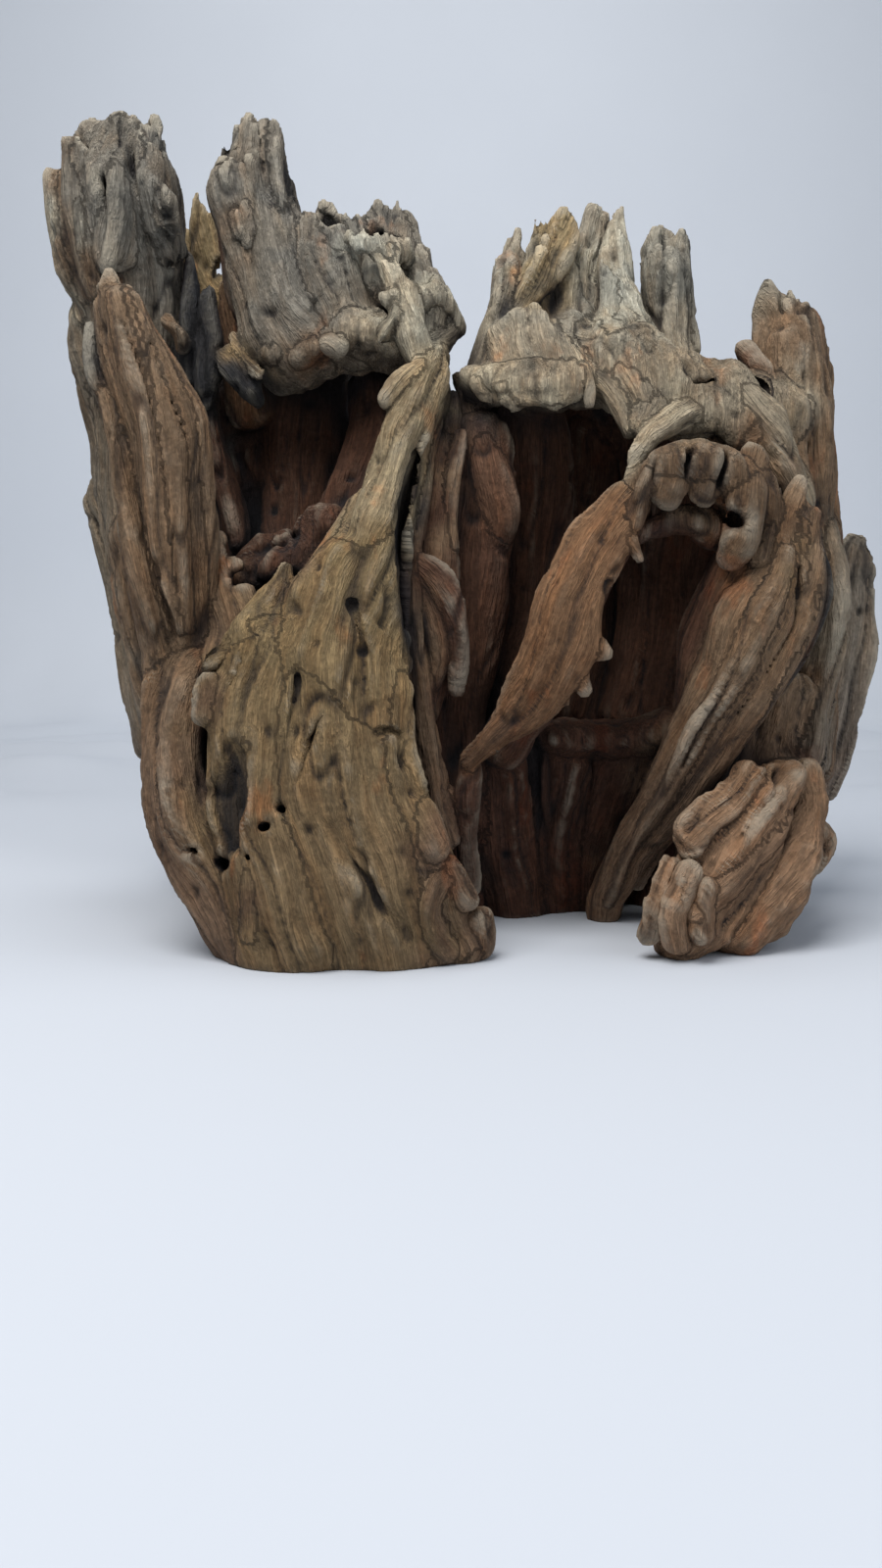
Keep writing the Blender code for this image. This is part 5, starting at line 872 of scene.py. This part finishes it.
def add_foot(wood):
    """The gnarled foot burl on the right with its toes, and the walls of the cave beside it."""
    wood.add("umber", 0.4, (14.5, -3.6, 6.2, 1.2, 1.6), (13.8, -3.6, 3.7, 1.5, 1.8),
             (12.9, -4, 1.2, 1.5, 1.8))
    wood.add("burl", 0.35, (13.5, -6.2, 6.5, 0.9, 1), (12.2, -7, 5, 1.35, 1.3), (11.1, -7.6, 3.3, 1.7, 1.4),
             (10, -8, 1.7, 1.45, 1.4), (9.3, -8, 0.7, 1.15, 1.2))
    wood.add("burl", 0.2, (15, -5.4, 7, 0.45, 0.8), (15, -5.7, 5.4, 0.55, 1.1), (14.3, -6.2, 3.8, 0.9, 1.3),
             (12.9, -7, 2.2, 1.15, 1.3), (11.6, -7.4, 0.8, 1.1, 1.2))
    wood.add("burl", 0.15, (12.2, -6.8, 6.8, 0.5, 0.6), (11.4, -7.6, 6, 0.6, 0.6),
             (10.3, -8.1, 5.2, 0.6, 0.6), (9.5, -8.4, 4.5, 0.5, 0.5))
    wood.add("burl", 0.15, (13.5, -7.2, 5.4, 0.3, 0.34), (12.3, -8.3, 4, 0.36, 0.4),
             (11.1, -9, 2.9, 0.4, 0.4), (9.8, -9.4, 1.8, 0.36, 0.36))
    wood.add("burl", 0.12, (15.6, -5, 4.6, 0.26, 0.45), (15.8, -4.8, 3.9, 0.36, 0.55),
             (15.4, -4.8, 3.1, 0.36, 0.5))
    wood.add("burl", 0.12, (8.5, -8.7, 3.4, 0.42, 0.42), (8, -9, 2.3, 0.42, 0.45),
             (7.8, -8.8, 1.1, 0.34, 0.34))
    wood.add("burl", 0.1, (9.3, -9.2, 3.1, 0.4, 0.36), (8.7, -9.5, 1.9, 0.45, 0.4),
             (8.9, -9.2, 0.8, 0.5, 0.4))
    wood.add("burl", 0.1, (10.3, -9.4, 2.7, 0.36, 0.34), (9.9, -9.4, 1.2, 0.45, 0.4))
    wood.cut(0.12, (13.8, -6.4, 7.9, 0.12, 0.6), (13.2, -7.4, 6.6, 0.16, 0.7), (12.3, -8.6, 5.4, 0.17, 0.7),
             (11.4, -9.2, 4.5, 0.12, 0.5))
    wood.cut(0.12, (8, -9.9, 1.9, 0.3, 0.3), (8.7, -10.3, 2.4, 0.3, 0.3), (9.2, -10.2, 2.7, 0.2, 0.24),
             facing=(0, -0.4, 1))
    wood.cut(0.1, (9.6, -9.5, 3.9, 0.12, 0.35), (9.2, -9.8, 3, 0.14, 0.35), (9, -10, 2.5, 0.1, 0.35))
    wood.add("umber", 0.5, (2.3, -2.6, 7.3, 1.2, 1.1), (2.7, -1.8, 4.2, 1.3, 1.2), (3.1, -1, 1.4, 1.3, 1.3),
             (3.3, -0.6, -0.2, 1.3, 1.3))
    wood.add("umber", 0.5, (5.2, -1.4, 7.4, 1.3, 1.1), (5, -0.8, 4.1, 1.4, 1.2), (4.9, 0, 1.2, 1.4, 1.3),
             (5, 0.4, -0.2, 1.4, 1.3))
    wood.add("umber", 0.5, (8.2, -1.4, 7.7, 1.3, 1.1), (7.7, -0.6, 4.5, 1.4, 1.2), (7, 0.2, 1.7, 1.4, 1.3),
             (6.8, 0.8, -0.3, 1.4, 1.3))


# Each region, how gnarled it is (1 for burl wood), how softly its spines melt together, and
# how deeply it is furrowed.
REGIONS = (
    (add_back, 0.1, 1.0, 1.0), (add_flanks, 0.1, 1.0, 1.0), (add_left_block, 0.1, 1.4, 0.7),
    (add_splinter, 0.0, 1.2, 0.45), (add_sheets, 0.0, 1.0, 0.4), (add_second_spire, 0.1, 1.6, 0.8),
    (add_craters, 0.1, 1.0, 0.25), (add_star, 0.1, 0.9, 0.35), (add_brow, 0.2, 1.8, 0.5),
    (add_left_hollow, 0.1, 1.2, 0.8), (add_apron, 0.1, 1.6, 0.85), (add_right_walls, 0.1, 1.5, 0.7),
    (add_right_crest, 0.1, 1.7, 0.75), (add_lip, 0.2, 1.6, 0.5), (add_arch, 0.1, 1.3, 0.5),
    (add_right_side, 0.1, 1.0, 0.8), (add_foot, 0.5, 1.4, 0.9),
)


# ---------------------------------------------------------------- surface of the wood
def surface_arrays(cell, splinter, flutes, fibres):
    """Points, faces and the measured values of each point, in grid units."""
    wood = Wood(cell)
    for region, wood.gnarl, wood.softness, wood.furrows in REGIONS:
        region(wood)
    wood.splinter(splinter)
    wood.flute(0.3 * flutes)
    wood.stand_flat()
    points, faces = wood.skin()
    flat = points[:, 2] < 0.03
    smoother = Smoother(faces, len(points))
    passes = max(1, round(0.12 / cell))

    jitter = np.stack([1.1 * noise(points * 0.5, 40 + axis) + 0.6 * noise(points * 1.7, 50 + axis)
                       for axis in range(3)], 1) * (1, 1, 2)
    owners = wood.at(wood.owner, points)
    grain = grain_of(points, owners, wood.spines)
    lift = ease_between(0.0, 1.5, points[:, 2])
    held = np.clip(lift + 0.3, 0, 1)[:, None]
    gnarl, soft, furrows = (np.array([getattr(spine, trait) for spine in wood.spines])[np.maximum(owners, 0)]
                            for trait in ("gnarl", "soft", "furrows"))
    gnarl = smoother(gnarl, 4 * passes)
    furrows = smoother(furrows, 4 * passes)
    bent = points * (0.8, 0.8, 0.3)
    points = points + np.stack([noise(bent, 20 + axis) for axis in range(3)], 1) * held * (0.16, 0.16, 0.1)
    normal = normals_of(points, faces)
    # Each noise has its scale along the grain, across it and through it, and a seed.
    scoops = np.abs(noise(grain * (0.06, 0.5, 0.5), 11)) + 0.35 * np.abs(noise(grain * (0.1, 1.1, 1.1), 12))
    ridges = 1 - 2 * np.abs(noise(grain * (0.13, 1.3, 1.3), 4))
    strands = 1 - 2 * np.abs(noise(grain * (0.2, 2.8, 2.8), 5))
    threads = noise(grain * (0.4, 5.5, 5.5), 6)
    crack = 1 - ease_between(0.0, 0.08, np.abs(noise(grain * (0.06, 0.8, 0.8) + points * 0.12, 7)))
    lumps = 1 - 2 * np.abs(noise(points * 0.9, 8)) + 0.5 * (1 - 2 * np.abs(noise(points * 2.1, 9)))
    pits = ease_between(0.50, 0.72, noise(points * (1.5, 1.5, 1.1), 13)) * (0.3 + 0.7 * furrows)
    weave = ridges + 0.7 * strands + 0.5 * threads - 5.0 * crack * furrows
    relief = 0.3 * furrows - 0.28 * pits - scoops * flutes * furrows + fibres * weave + 0.22 * gnarl * lumps
    border = smoother((np.abs(smoother(owners.astype(float), 1) - owners) > 0.01) * soft, 7 * passes)
    border = np.clip(4.0 * border, 0, 1)
    relief = smoother(relief, 1) * (1 - border) + smoother(relief, 24 * passes) * border
    points = points + normal * relief[:, None] * held
    sway = np.stack([noise(points * 0.16, 10 + axis) for axis in range(3)], 1) * 0.35
    points = points + sway * lift[:, None]
    points[:, 2] = np.where(flat, 0.0, np.maximum(points[:, 2], 0.0))

    normal = normals_of(points, faces)
    near = ((smoother(points, 3 * passes) - points) * normal).sum(1)
    wide = ((smoother(points, 24 * passes) - points) * normal).sum(1)
    depth = np.clip(-wood.at(wood.uncut, points), 0, 1.5)
    tones = wood.at(wood.owner, points + jitter * soft[:, None])
    # The hollow, shade, depth, crack and crowd measures drive the material's painted shade and its pale
    # ridges, which are partly a painted highlight.
    values = {
        "tone": smoother(TONE_TABLE[tones_of(wood, tones)], 12 * passes),
        "hollow": smoother(near, 1),
        "shade": wide,
        "depth": smoother(depth, 1),
        "crack": np.maximum(crack, 0.8 * pits),
        "crowd": smoother(wood.crowding(points + 1.1 * normal, 2.0), 4 * passes),
    }
    return points, faces, values, grain


# ---------------------------------------------------------------- tones of the wood
TONES = {
    "grey": (0.180, 0.160, 0.128),
    "pale": (0.400, 0.372, 0.290),
    "ash": (0.265, 0.240, 0.188),
    "ridge": (0.255, 0.218, 0.145),
    "tan": (0.170, 0.120, 0.078),
    "brown": (0.130, 0.088, 0.055),
    "burl": (0.235, 0.160, 0.098),
    "olive": (0.195, 0.150, 0.082),
    "light": (0.300, 0.225, 0.120),
    "umber": (0.078, 0.040, 0.026),
    "rust": (0.120, 0.066, 0.042),
    "orange": (0.185, 0.110, 0.062),
    "char": (0.020, 0.022, 0.027),
    "fin": (0.230, 0.210, 0.180),
}
TONE_NAMES = list(TONES)
TONE_TABLE = np.array([TONES[name] for name in TONE_NAMES])


def tones_of(wood, owners):
    """Row of the tone table for each owner; an unowned point takes the first."""
    rows = np.array([TONE_NAMES.index(spine.tone) for spine in wood.spines])
    return rows[np.maximum(owners, 0)]


# ---------------------------------------------------------------- shader helpers
class Channel:
    """One value in a shader, so that shader maths reads as plain expressions."""

    def __init__(self, look, socket):
        self.look = look
        self.socket = socket

    def combine(self, operation, first, second):
        return self.look.node("ShaderNodeMath", {"operation": operation}, {0: first, 1: second})

    def __add__(self, other):
        return self.combine("ADD", self, other)

    def __radd__(self, other):
        return self.combine("ADD", other, self)

    def __sub__(self, other):
        return self.combine("SUBTRACT", self, other)

    def __rsub__(self, other):
        return self.combine("SUBTRACT", other, self)

    def __mul__(self, other):
        return self.combine("MULTIPLY", self, other)

    def __rmul__(self, other):
        return self.combine("MULTIPLY", other, self)


class Look:
    """A material that is put together node by node."""

    def __init__(self, name):
        self.material = bpy.data.materials.new(name)
        self.material.use_nodes = True
        self.nodes = self.material.node_tree.nodes
        self.links = self.material.node_tree.links
        self.shader = self.nodes["Principled BSDF"]

    def fill(self, socket, value):
        """Link a channel to the socket, or set the socket's own value."""
        if isinstance(value, Channel):
            self.links.new(value.socket, socket)
        else:
            socket.default_value = value

    def node(self, kind, settings, values, output=0):
        """A node of the kind, its settings, its socket values or links, and one output of it."""
        made = self.nodes.new(kind)
        for name, value in settings.items():
            setattr(made, name, value)
        for name, value in values.items():
            self.fill(made.inputs[name], value)
        return Channel(self, made.outputs[output])

    def measure(self, name, output="Fac"):
        """A value that was measured on the surface and is stored with its points."""
        return self.node("ShaderNodeAttribute", {"attribute_name": name}, {}, output)

    def step(self, value, low, high):
        """0 at low and 1 at high, smooth between."""
        return self.node("ShaderNodeMapRange", {"interpolation_type": "SMOOTHSTEP"},
                         {"Value": value, "From Min": low, "From Max": high})

    def stretched(self, vector, scale):
        """The vector with each of its axes scaled."""
        return self.node("ShaderNodeVectorMath", {"operation": "MULTIPLY"}, {0: vector, 1: scale})

    def speckle(self, vector, scale, detail, roughness=0.5):
        """Noise between 0 and 1."""
        return self.node("ShaderNodeTexNoise", {}, {"Vector": vector, "Scale": scale, "Detail": detail,
                                                    "Roughness": roughness})

    def lines(self, value, width):
        """0 on thin lines where a noise crosses its middle, and 1 away from them."""
        off_middle = self.node("ShaderNodeMath", {"operation": "ABSOLUTE"}, {0: value - 0.5})
        return self.step(off_middle, 0.0, width)

    def blend(self, share, first, second, kind="MIX"):
        """One colour laid over another by the share."""
        made = self.nodes.new("ShaderNodeMix")
        made.data_type = "RGBA"
        made.blend_type = kind
        made.clamp_result = False
        self.fill(made.inputs[0], share)
        self.fill(made.inputs[6], first)
        self.fill(made.inputs[7], second)
        return Channel(self, made.outputs[2])

    def feed(self, **values):
        """Feed the shader's sockets, named in lower case."""
        for name, value in values.items():
            self.fill(self.shader.inputs[name.replace("_", " ").title()], value)


# Each tint multiplies the colour below it.
WARM = (1.30, 0.97, 0.66, 1)
COOL = (0.66, 0.75, 0.86, 1)
STAINED = (0.58, 0.50, 0.44, 1)
RUSTY = (1.55, 0.88, 0.55, 1)
GOLDEN = (1.10, 0.95, 0.78, 1)
# Darker and a little purple towards the bottom of the root.
BOTTOM_TINT = (0.84, 0.78, 0.86, 1)
# Heights in metres, between which the tint comes in or fades out.
COOL_HEIGHTS = (0.19, 0.27)
GOLDEN_HEIGHTS = (0.26, 0.34)
BOTTOM_TINT_HEIGHTS = (0.04, 0.13)
RUST_STRETCH = (40.0, 40.0, 18.0)
BUMP_DEPTH = 0.0013
WOOD_SPECULAR = 0.25


def opaque(colour):
    """The colour with full alpha."""
    return tuple(colour) + (1,)


def wood_look(settings):
    """Weathered wood: each region's own tone and fibre streaks, painted shade in creases, cracks, hollows and
    holes, and worn edges that are partly a painted highlight.
    """
    look = Look("weathered_wood")
    grain = look.measure("grain", "Vector")
    place_in_wood = look.node("ShaderNodeTexCoord", {}, {}, "Object")
    hollow = look.measure("hollow")
    shade = look.measure("shade")
    depth = look.measure("depth")
    thread = look.lines(look.speckle(look.stretched(grain, (0.30, 3.2, 3.2)), 1.0, 3.0, 0.62), 0.16)
    hair = look.lines(look.speckle(look.stretched(grain, (0.9, 11.0, 11.0)), 1.0, 3.0, 0.62), 0.20)
    streak = look.speckle(look.stretched(grain, (0.25, 1.6, 1.6)), 1.0, 3.0, 0.55)
    patch = look.speckle(place_in_wood, 22.0, 4.0, 0.6)
    pores = look.speckle(place_in_wood, 420.0, 2.0, 0.6)

    crowd = look.measure("crowd")
    open_air = 1.0 - look.step(crowd, 0.20, 0.42)

    colour = look.measure("tone", "Color")
    warm = look.step(streak, 0.42, 0.72)
    colour = look.blend(warm * 0.3, colour, WARM, "MULTIPLY")
    height = look.node("ShaderNodeSeparateXYZ", {}, {"Vector": place_in_wood}, "Z")
    cool = look.step(patch, 0.48, 0.62) * look.step(height, *COOL_HEIGHTS)
    colour = look.blend(cool * open_air * 0.5, colour, COOL, "MULTIPLY")
    stain = look.step(look.speckle(place_in_wood, 34.0, 5.0, 0.65), 0.50, 0.64)
    colour = look.blend(stain * 0.6, colour, STAINED, "MULTIPLY")
    rust = look.step(look.speckle(look.stretched(place_in_wood, RUST_STRETCH), 1.0, 4.0, 0.6), 0.58, 0.70)
    colour = look.blend(rust * 0.55, colour, RUSTY, "MULTIPLY")
    lower = 1.0 - look.step(height + patch * 0.08, *GOLDEN_HEIGHTS)
    colour = look.blend(lower * 0.6, colour, GOLDEN, "MULTIPLY")
    light = 0.28 + thread * 0.42 + hair * 0.42 + pores * 0.75
    colour = look.blend(1.0, colour, look.node("ShaderNodeCombineColor", {}, {0: light, 1: light, 2: light}),
                        "MULTIPLY")
    # Darker towards the bottom of the root.
    foot = 1.0 - look.step(height, *BOTTOM_TINT_HEIGHTS)
    colour = look.blend(foot * 0.6, colour, BOTTOM_TINT, "MULTIPLY")
    # Partly real wear and partly a painted highlight: convex ridges in open air are laid over with a pale
    # colour.
    ridge = look.step(0.0 - hollow, 0.01, 0.09)
    colour = look.blend(ridge * open_air * settings.wear_and_highlight, colour, opaque(settings.worn_and_highlight_colour))
    # Painted shade: creases are darkened towards near black.
    painted_crease_shade = look.step(hollow, 0.0, 0.07)
    colour = look.blend(painted_crease_shade * 0.75, colour, opaque(settings.crease_shade_colour))
    # Painted shade: cracks and pits are darkened towards near black.
    painted_crack_shade = look.measure("crack")
    colour = look.blend(painted_crack_shade * 0.6, colour, opaque(settings.crease_shade_colour))
    # Painted shade: wood crowded by other wood, in the hollows, is darkened to dark brown and then to near
    # black.
    inner = look.step(crowd, 0.28, 0.55)
    colour = look.blend(inner * 0.82, colour, opaque(settings.hollow_shade_colour))
    colour = look.blend(look.step(crowd, 0.36, 0.54) * 0.8, colour, opaque(settings.deep_shade_colour))
    # Painted shade: broad hollows of the surface are darkened towards near black.
    painted_broad_shade = look.step(shade, 0.05, 0.45)
    colour = look.blend(painted_broad_shade * 0.5, colour, opaque(settings.crease_shade_colour))
    # Painted shade: the inside of holes and cracks cut into the wood is darkened to near black.
    cut = look.step(depth, 0.08, 0.5)
    colour = look.blend(cut * 0.85, colour, opaque(settings.deep_shade_colour))
    look.feed(base_color=colour, roughness=0.95 - ridge * 0.12 - pores * 0.12)
    grooves = thread * 0.5 + hair * 0.3 + pores * 0.5
    look.feed(normal=look.node("ShaderNodeBump", {}, {"Strength": 1.0, "Distance": BUMP_DEPTH,
                                                      "Height": grooves}))
    look.shader.inputs["Specular IOR Level"].default_value = WOOD_SPECULAR
    return look.material


# ---------------------------------------------------------------- the piece
class DryRootSettings(bpy.types.PropertyGroup):
    """Sizes and colours of the dry root."""

    cell: bpy.props.FloatProperty(name="Cell", description="Side of one modelling cell", default=0.125 * UNIT,
                                  min=0.0005, unit="LENGTH", precision=5)
    rough_cell: bpy.props.FloatProperty(name="Draft cell", description="Side of one cell in a quick draft",
                                        default=0.2 * UNIT, min=0.0005, unit="LENGTH", precision=5)
    splinter: bpy.props.FloatProperty(name="Splinters", description="How far fibres slide at broken ends",
                                      default=0.9 * UNIT, unit="LENGTH", precision=4)
    flutes: bpy.props.FloatProperty(name="Flutes", description="Depth of the long upright flutes",
                                    default=0.85 * UNIT, unit="LENGTH", precision=4)
    fibres: bpy.props.FloatProperty(name="Fibres", description="Depth of the fibre relief",
                                    default=0.06 * UNIT, unit="LENGTH", precision=5)
    # Wear and painted highlight: how strongly, and in which colour, convex ridges in open air are painted
    # pale.
    wear_and_highlight: bpy.props.FloatProperty(name="Wear", description="How pale the worn ridges are", default=0.45,
                                  min=0.0, max=1.0, subtype="FACTOR")
    worn_and_highlight_colour: bpy.props.FloatVectorProperty(name="Worn ridge", description="Colour of worn ridges", size=3,
                                               default=(0.40, 0.36, 0.28), subtype="COLOR")
    # Painted shade: near black laid into creases, cracks and broad hollows.
    crease_shade_colour: bpy.props.FloatVectorProperty(name="Crease", description="Colour in the creases", size=3,
                                                 default=(0.011, 0.010, 0.011), subtype="COLOR")
    # Painted shade: dark brown laid over wood in the hollows.
    hollow_shade_colour: bpy.props.FloatVectorProperty(name="Hollow", description="Colour of wood in the hollows",
                                                size=3, default=(0.038, 0.022, 0.016), subtype="COLOR")
    # Painted shade: near black laid into deep hollows and inside holes and cracks.
    deep_shade_colour: bpy.props.FloatVectorProperty(name="Hole", description="Colour inside holes and cracks",
                                              size=3, default=(0.011, 0.011, 0.013), subtype="COLOR")


def store(mesh, name, kind, values):
    """Keep one measured value for each point of the mesh."""
    attribute = mesh.attributes.new(name, kind, "POINT")
    if kind == "FLOAT":
        attribute.data.foreach_set("value", values.astype(np.float32))
    elif kind == "FLOAT_VECTOR":
        attribute.data.foreach_set("vector", values.astype(np.float32).ravel())
    else:
        opaque = np.concatenate([values, np.ones((len(values), 1))], 1)
        attribute.data.foreach_set("color", opaque.astype(np.float32).ravel())


def mesh_of(name, points, faces):
    """A smooth-shaded mesh from arrays of points and four-sided faces."""
    mesh = bpy.data.meshes.new(name)
    mesh.vertices.add(len(points))
    mesh.vertices.foreach_set("co", points.astype(np.float32).ravel())
    mesh.loops.add(faces.size)
    mesh.loops.foreach_set("vertex_index", faces.astype(np.int32).ravel())
    mesh.polygons.add(len(faces))
    mesh.polygons.foreach_set("loop_start", np.arange(0, faces.size, 4, dtype=np.int32))
    mesh.update(calc_edges=True)
    mesh.validate()
    mesh.shade_smooth()
    return mesh


class DRYROOT_OT_build_root(bpy.types.Operator):
    """Model the dry root and give it its weathered wood"""

    bl_idname = "dry_root.build_root"
    bl_label = "Dry root"

    def execute(self, context):
        settings = context.scene.dry_root
        cell = settings.cell
        points, faces, values, grain = surface_arrays(cell / UNIT, settings.splinter / UNIT,
                                                      settings.flutes / UNIT, settings.fibres / UNIT)
        mesh = mesh_of("weathered_root", points * UNIT + np.array(ORIGIN), faces)
        store(mesh, "tone", "FLOAT_COLOR", values["tone"])
        store(mesh, "grain", "FLOAT_VECTOR", grain)
        for name in ("hollow", "shade", "depth", "crack", "crowd"):
            store(mesh, name, "FLOAT", values[name])
        mesh.materials.append(wood_look(settings))
        root = bpy.data.objects.new("weathered_root", mesh)
        context.scene.collection.objects.link(root)
        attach(root, "root")
        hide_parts("dry_root")
        return {"FINISHED"}


# ---------------------------------------------------------------- the studio
class StudioSettings(bpy.types.PropertyGroup):
    """Sizes and colours of the studio."""

    paper_colour: bpy.props.FloatVectorProperty(name="Paper", description="Colour of the paper sweep", size=3,
                                                default=(0.52, 0.555, 0.61), subtype="COLOR")
    # Painted light: the upright paper is paler than the floor to stand in for the light that falls off
    # towards it.
    wall_colour_with_painted_light: bpy.props.FloatVectorProperty(name="Wall", description="Colour of the upright paper",
                                               size=3, default=(0.80, 0.84, 0.90), subtype="COLOR")
    wall_distance: bpy.props.FloatProperty(name="Wall distance", description="Distance of the upright paper",
                                           default=1.4, unit="LENGTH")
    half_width: bpy.props.FloatProperty(name="Half width", description="Half the width of the sweep",
                                        default=2.5, unit="LENGTH")
    bend_radius: bpy.props.FloatProperty(name="Bend radius", description="Radius of the bend of the sweep",
                                         default=0.3, unit="LENGTH")
    creases: bpy.props.FloatProperty(name="Creases", description="Height of the soft creases in the paper",
                                     default=0.018, unit="LENGTH", precision=4)
    key_power: bpy.props.FloatProperty(name="Key light", description="Power of the main soft light",
                                       default=11.5, unit="POWER")
    lens: bpy.props.FloatProperty(name="Lens", description="Focal length of the camera", default=27.0,
                                  unit="CAMERA")


PAPER_STEP = 0.02               # spacing of the rows of points on the floor
PAPER_COLUMNS = 201
BEND_STEPS = 16
WALL_HEIGHT = 2.6
CREASE_MARGIN = (0.03, 0.22)    # the creases come in between these distances beside the root
MOTTLE_COLOUR = (0.45, 0.48, 0.54, 1)
AIR_COLOUR = (0.72, 0.78, 0.86, 1)
AIR_STRENGTH = 0.28
CAMERA_SPOT = (0, -53, 11.8)
CAMERA_TILT = 6.5               # degrees below level


def paper_sweep(settings):
    """A sheet of pale paper that lies on the floor, slightly creased, and bends up far behind the root. Its
    upright part has a paler colour, painted light that stands in for the light falling off there.
    """
    wall = settings.wall_distance
    radius = settings.bend_radius
    front = -settings.wall_distance
    profile = [(front + PAPER_STEP * i, 0.0) for i in range(int((wall - radius - front) / PAPER_STEP))]
    for step in range(BEND_STEPS + 1):
        angle = math.radians(90 * step / BEND_STEPS)
        profile.append((wall - radius + radius * math.sin(angle), radius - radius * math.cos(angle)))
    profile.append((wall, WALL_HEIGHT))
    columns = np.linspace(-settings.half_width, settings.half_width, PAPER_COLUMNS)
    points = np.array([(x, y, z) for y, z in profile for x in columns])
    clear = ease_between(*CREASE_MARGIN, np.abs(points[:, 0]) - HIGH.x) * (points[:, 2] < radius)
    creases = np.abs(noise(points * (4.0, 7.0, 2.0), 61)) + 0.5 * np.abs(noise(points * (9.0, 5.0, 3.0), 62))
    points[:, 2] += settings.creases * creases * clear
    width = len(columns)
    faces = [(row * width + i, row * width + i + 1, (row + 1) * width + i + 1, (row + 1) * width + i)
             for row in range(len(profile) - 1) for i in range(width - 1)]
    mesh = bpy.data.meshes.new("paper_sweep")
    mesh.from_pydata(points.tolist(), [], faces)
    mesh.shade_smooth()
    look = Look("pale_paper")
    spot = look.node("ShaderNodeTexCoord", {}, {}, "Object")
    mottle = look.speckle(spot, 6.0, 3.0)
    # Painted light: the paper turns to the paler wall colour towards the back, standing in for light that
    # falls off there.
    back = look.step(look.node("ShaderNodeSeparateXYZ", {}, {"Vector": spot}, "Y"), 0.2, wall)
    paper = look.blend(back, opaque(settings.paper_colour), opaque(settings.wall_colour_with_painted_light))
    look.feed(base_color=look.blend(mottle * 0.10, paper, MOTTLE_COLOUR),
              roughness=0.75 + mottle * 0.1)
    mesh.materials.append(look.material)
    sweep = bpy.data.objects.new("paper_sweep", mesh)
    bpy.context.scene.collection.objects.link(sweep)


def soft_light(name, spot, target, size, power, colour):
    """A square soft light at one place, aimed at another."""
    lamp = bpy.data.lights.new(name, "AREA")
    lamp.size = size
    lamp.energy = power
    lamp.color = colour
    light = bpy.data.objects.new(name, lamp)
    light.location = spot
    light.rotation_euler = (target - spot).to_track_quat("-Z", "Y").to_euler()
    bpy.context.scene.collection.objects.link(light)


class DRYROOT_OT_build_studio(bpy.types.Operator):
    """Set up the paper sweep, the soft lights and the camera"""

    bl_idname = "dry_root.build_studio"
    bl_label = "Studio"

    def execute(self, context):
        settings = context.scene.dry_root_studio
        paper_sweep(settings)
        middle = place(0, 0, 15)
        soft_light("key_light", place(-25, -45, 95), middle, size=0.6, power=settings.key_power,
                   colour=(1.0, 0.98, 0.96))
        soft_light("fill_light", place(60, -60, 50), middle, size=0.9, power=settings.key_power * 0.25,
                   colour=(0.92, 0.95, 1.0))
        soft_light("wall_light", place(0, 20, 160), place(0, 130, 20), size=0.8,
                   power=settings.key_power * 0.7, colour=(1.0, 1.0, 1.0))
        world = bpy.data.worlds.new("studio_air")
        world.use_nodes = True
        world.node_tree.nodes["Background"].inputs["Color"].default_value = AIR_COLOUR
        world.node_tree.nodes["Background"].inputs["Strength"].default_value = AIR_STRENGTH
        context.scene.world = world
        lens = bpy.data.cameras.new("camera")
        lens.lens = settings.lens
        lens.sensor_width = 36.0
        camera = bpy.data.objects.new("camera", lens)
        camera.location = place(*CAMERA_SPOT)
        camera.rotation_euler = (math.radians(90 - CAMERA_TILT), 0, 0)
        context.scene.collection.objects.link(camera)
        context.scene.camera = camera
        context.scene.view_settings.view_transform = "Standard"
        return {"FINISHED"}


class DRYROOT_PT_panel(bpy.types.Panel):
    """Lists the dry root and its studio"""

    bl_idname = "DRYROOT_PT_panel"
    bl_label = "Dry Root"
    bl_space_type = "VIEW_3D"
    bl_region_type = "UI"
    bl_category = "Dry Root"

    def draw(self, context):
        scene = context.scene
        for settings, kind, operator in ((scene.dry_root, DryRootSettings, DRYROOT_OT_build_root),
                                         (scene.dry_root_studio, StudioSettings, DRYROOT_OT_build_studio)):
            box = self.layout.box()
            for name in kind.__annotations__:
                box.prop(settings, name)
            box.operator(operator.bl_idname)


CLASSES = (DryRootSettings, StudioSettings, DRYROOT_OT_build_root, DRYROOT_OT_build_studio, DRYROOT_PT_panel)


def register():
    """Make the settings, the operators and the panel known to Blender."""
    for kind in CLASSES:
        bpy.utils.register_class(kind)
    bpy.types.Scene.dry_root = bpy.props.PointerProperty(type=DryRootSettings)
    bpy.types.Scene.dry_root_studio = bpy.props.PointerProperty(type=StudioSettings)


def unregister():
    """Take them away again."""
    del bpy.types.Scene.dry_root_studio
    del bpy.types.Scene.dry_root
    for kind in reversed(CLASSES):
        bpy.utils.unregister_class(kind)


def main():
    """Build the root and its studio."""
    register()
    bpy.ops.dry_root.build_root()
    bpy.ops.dry_root.build_studio()


if __name__ == "__main__":
    main()
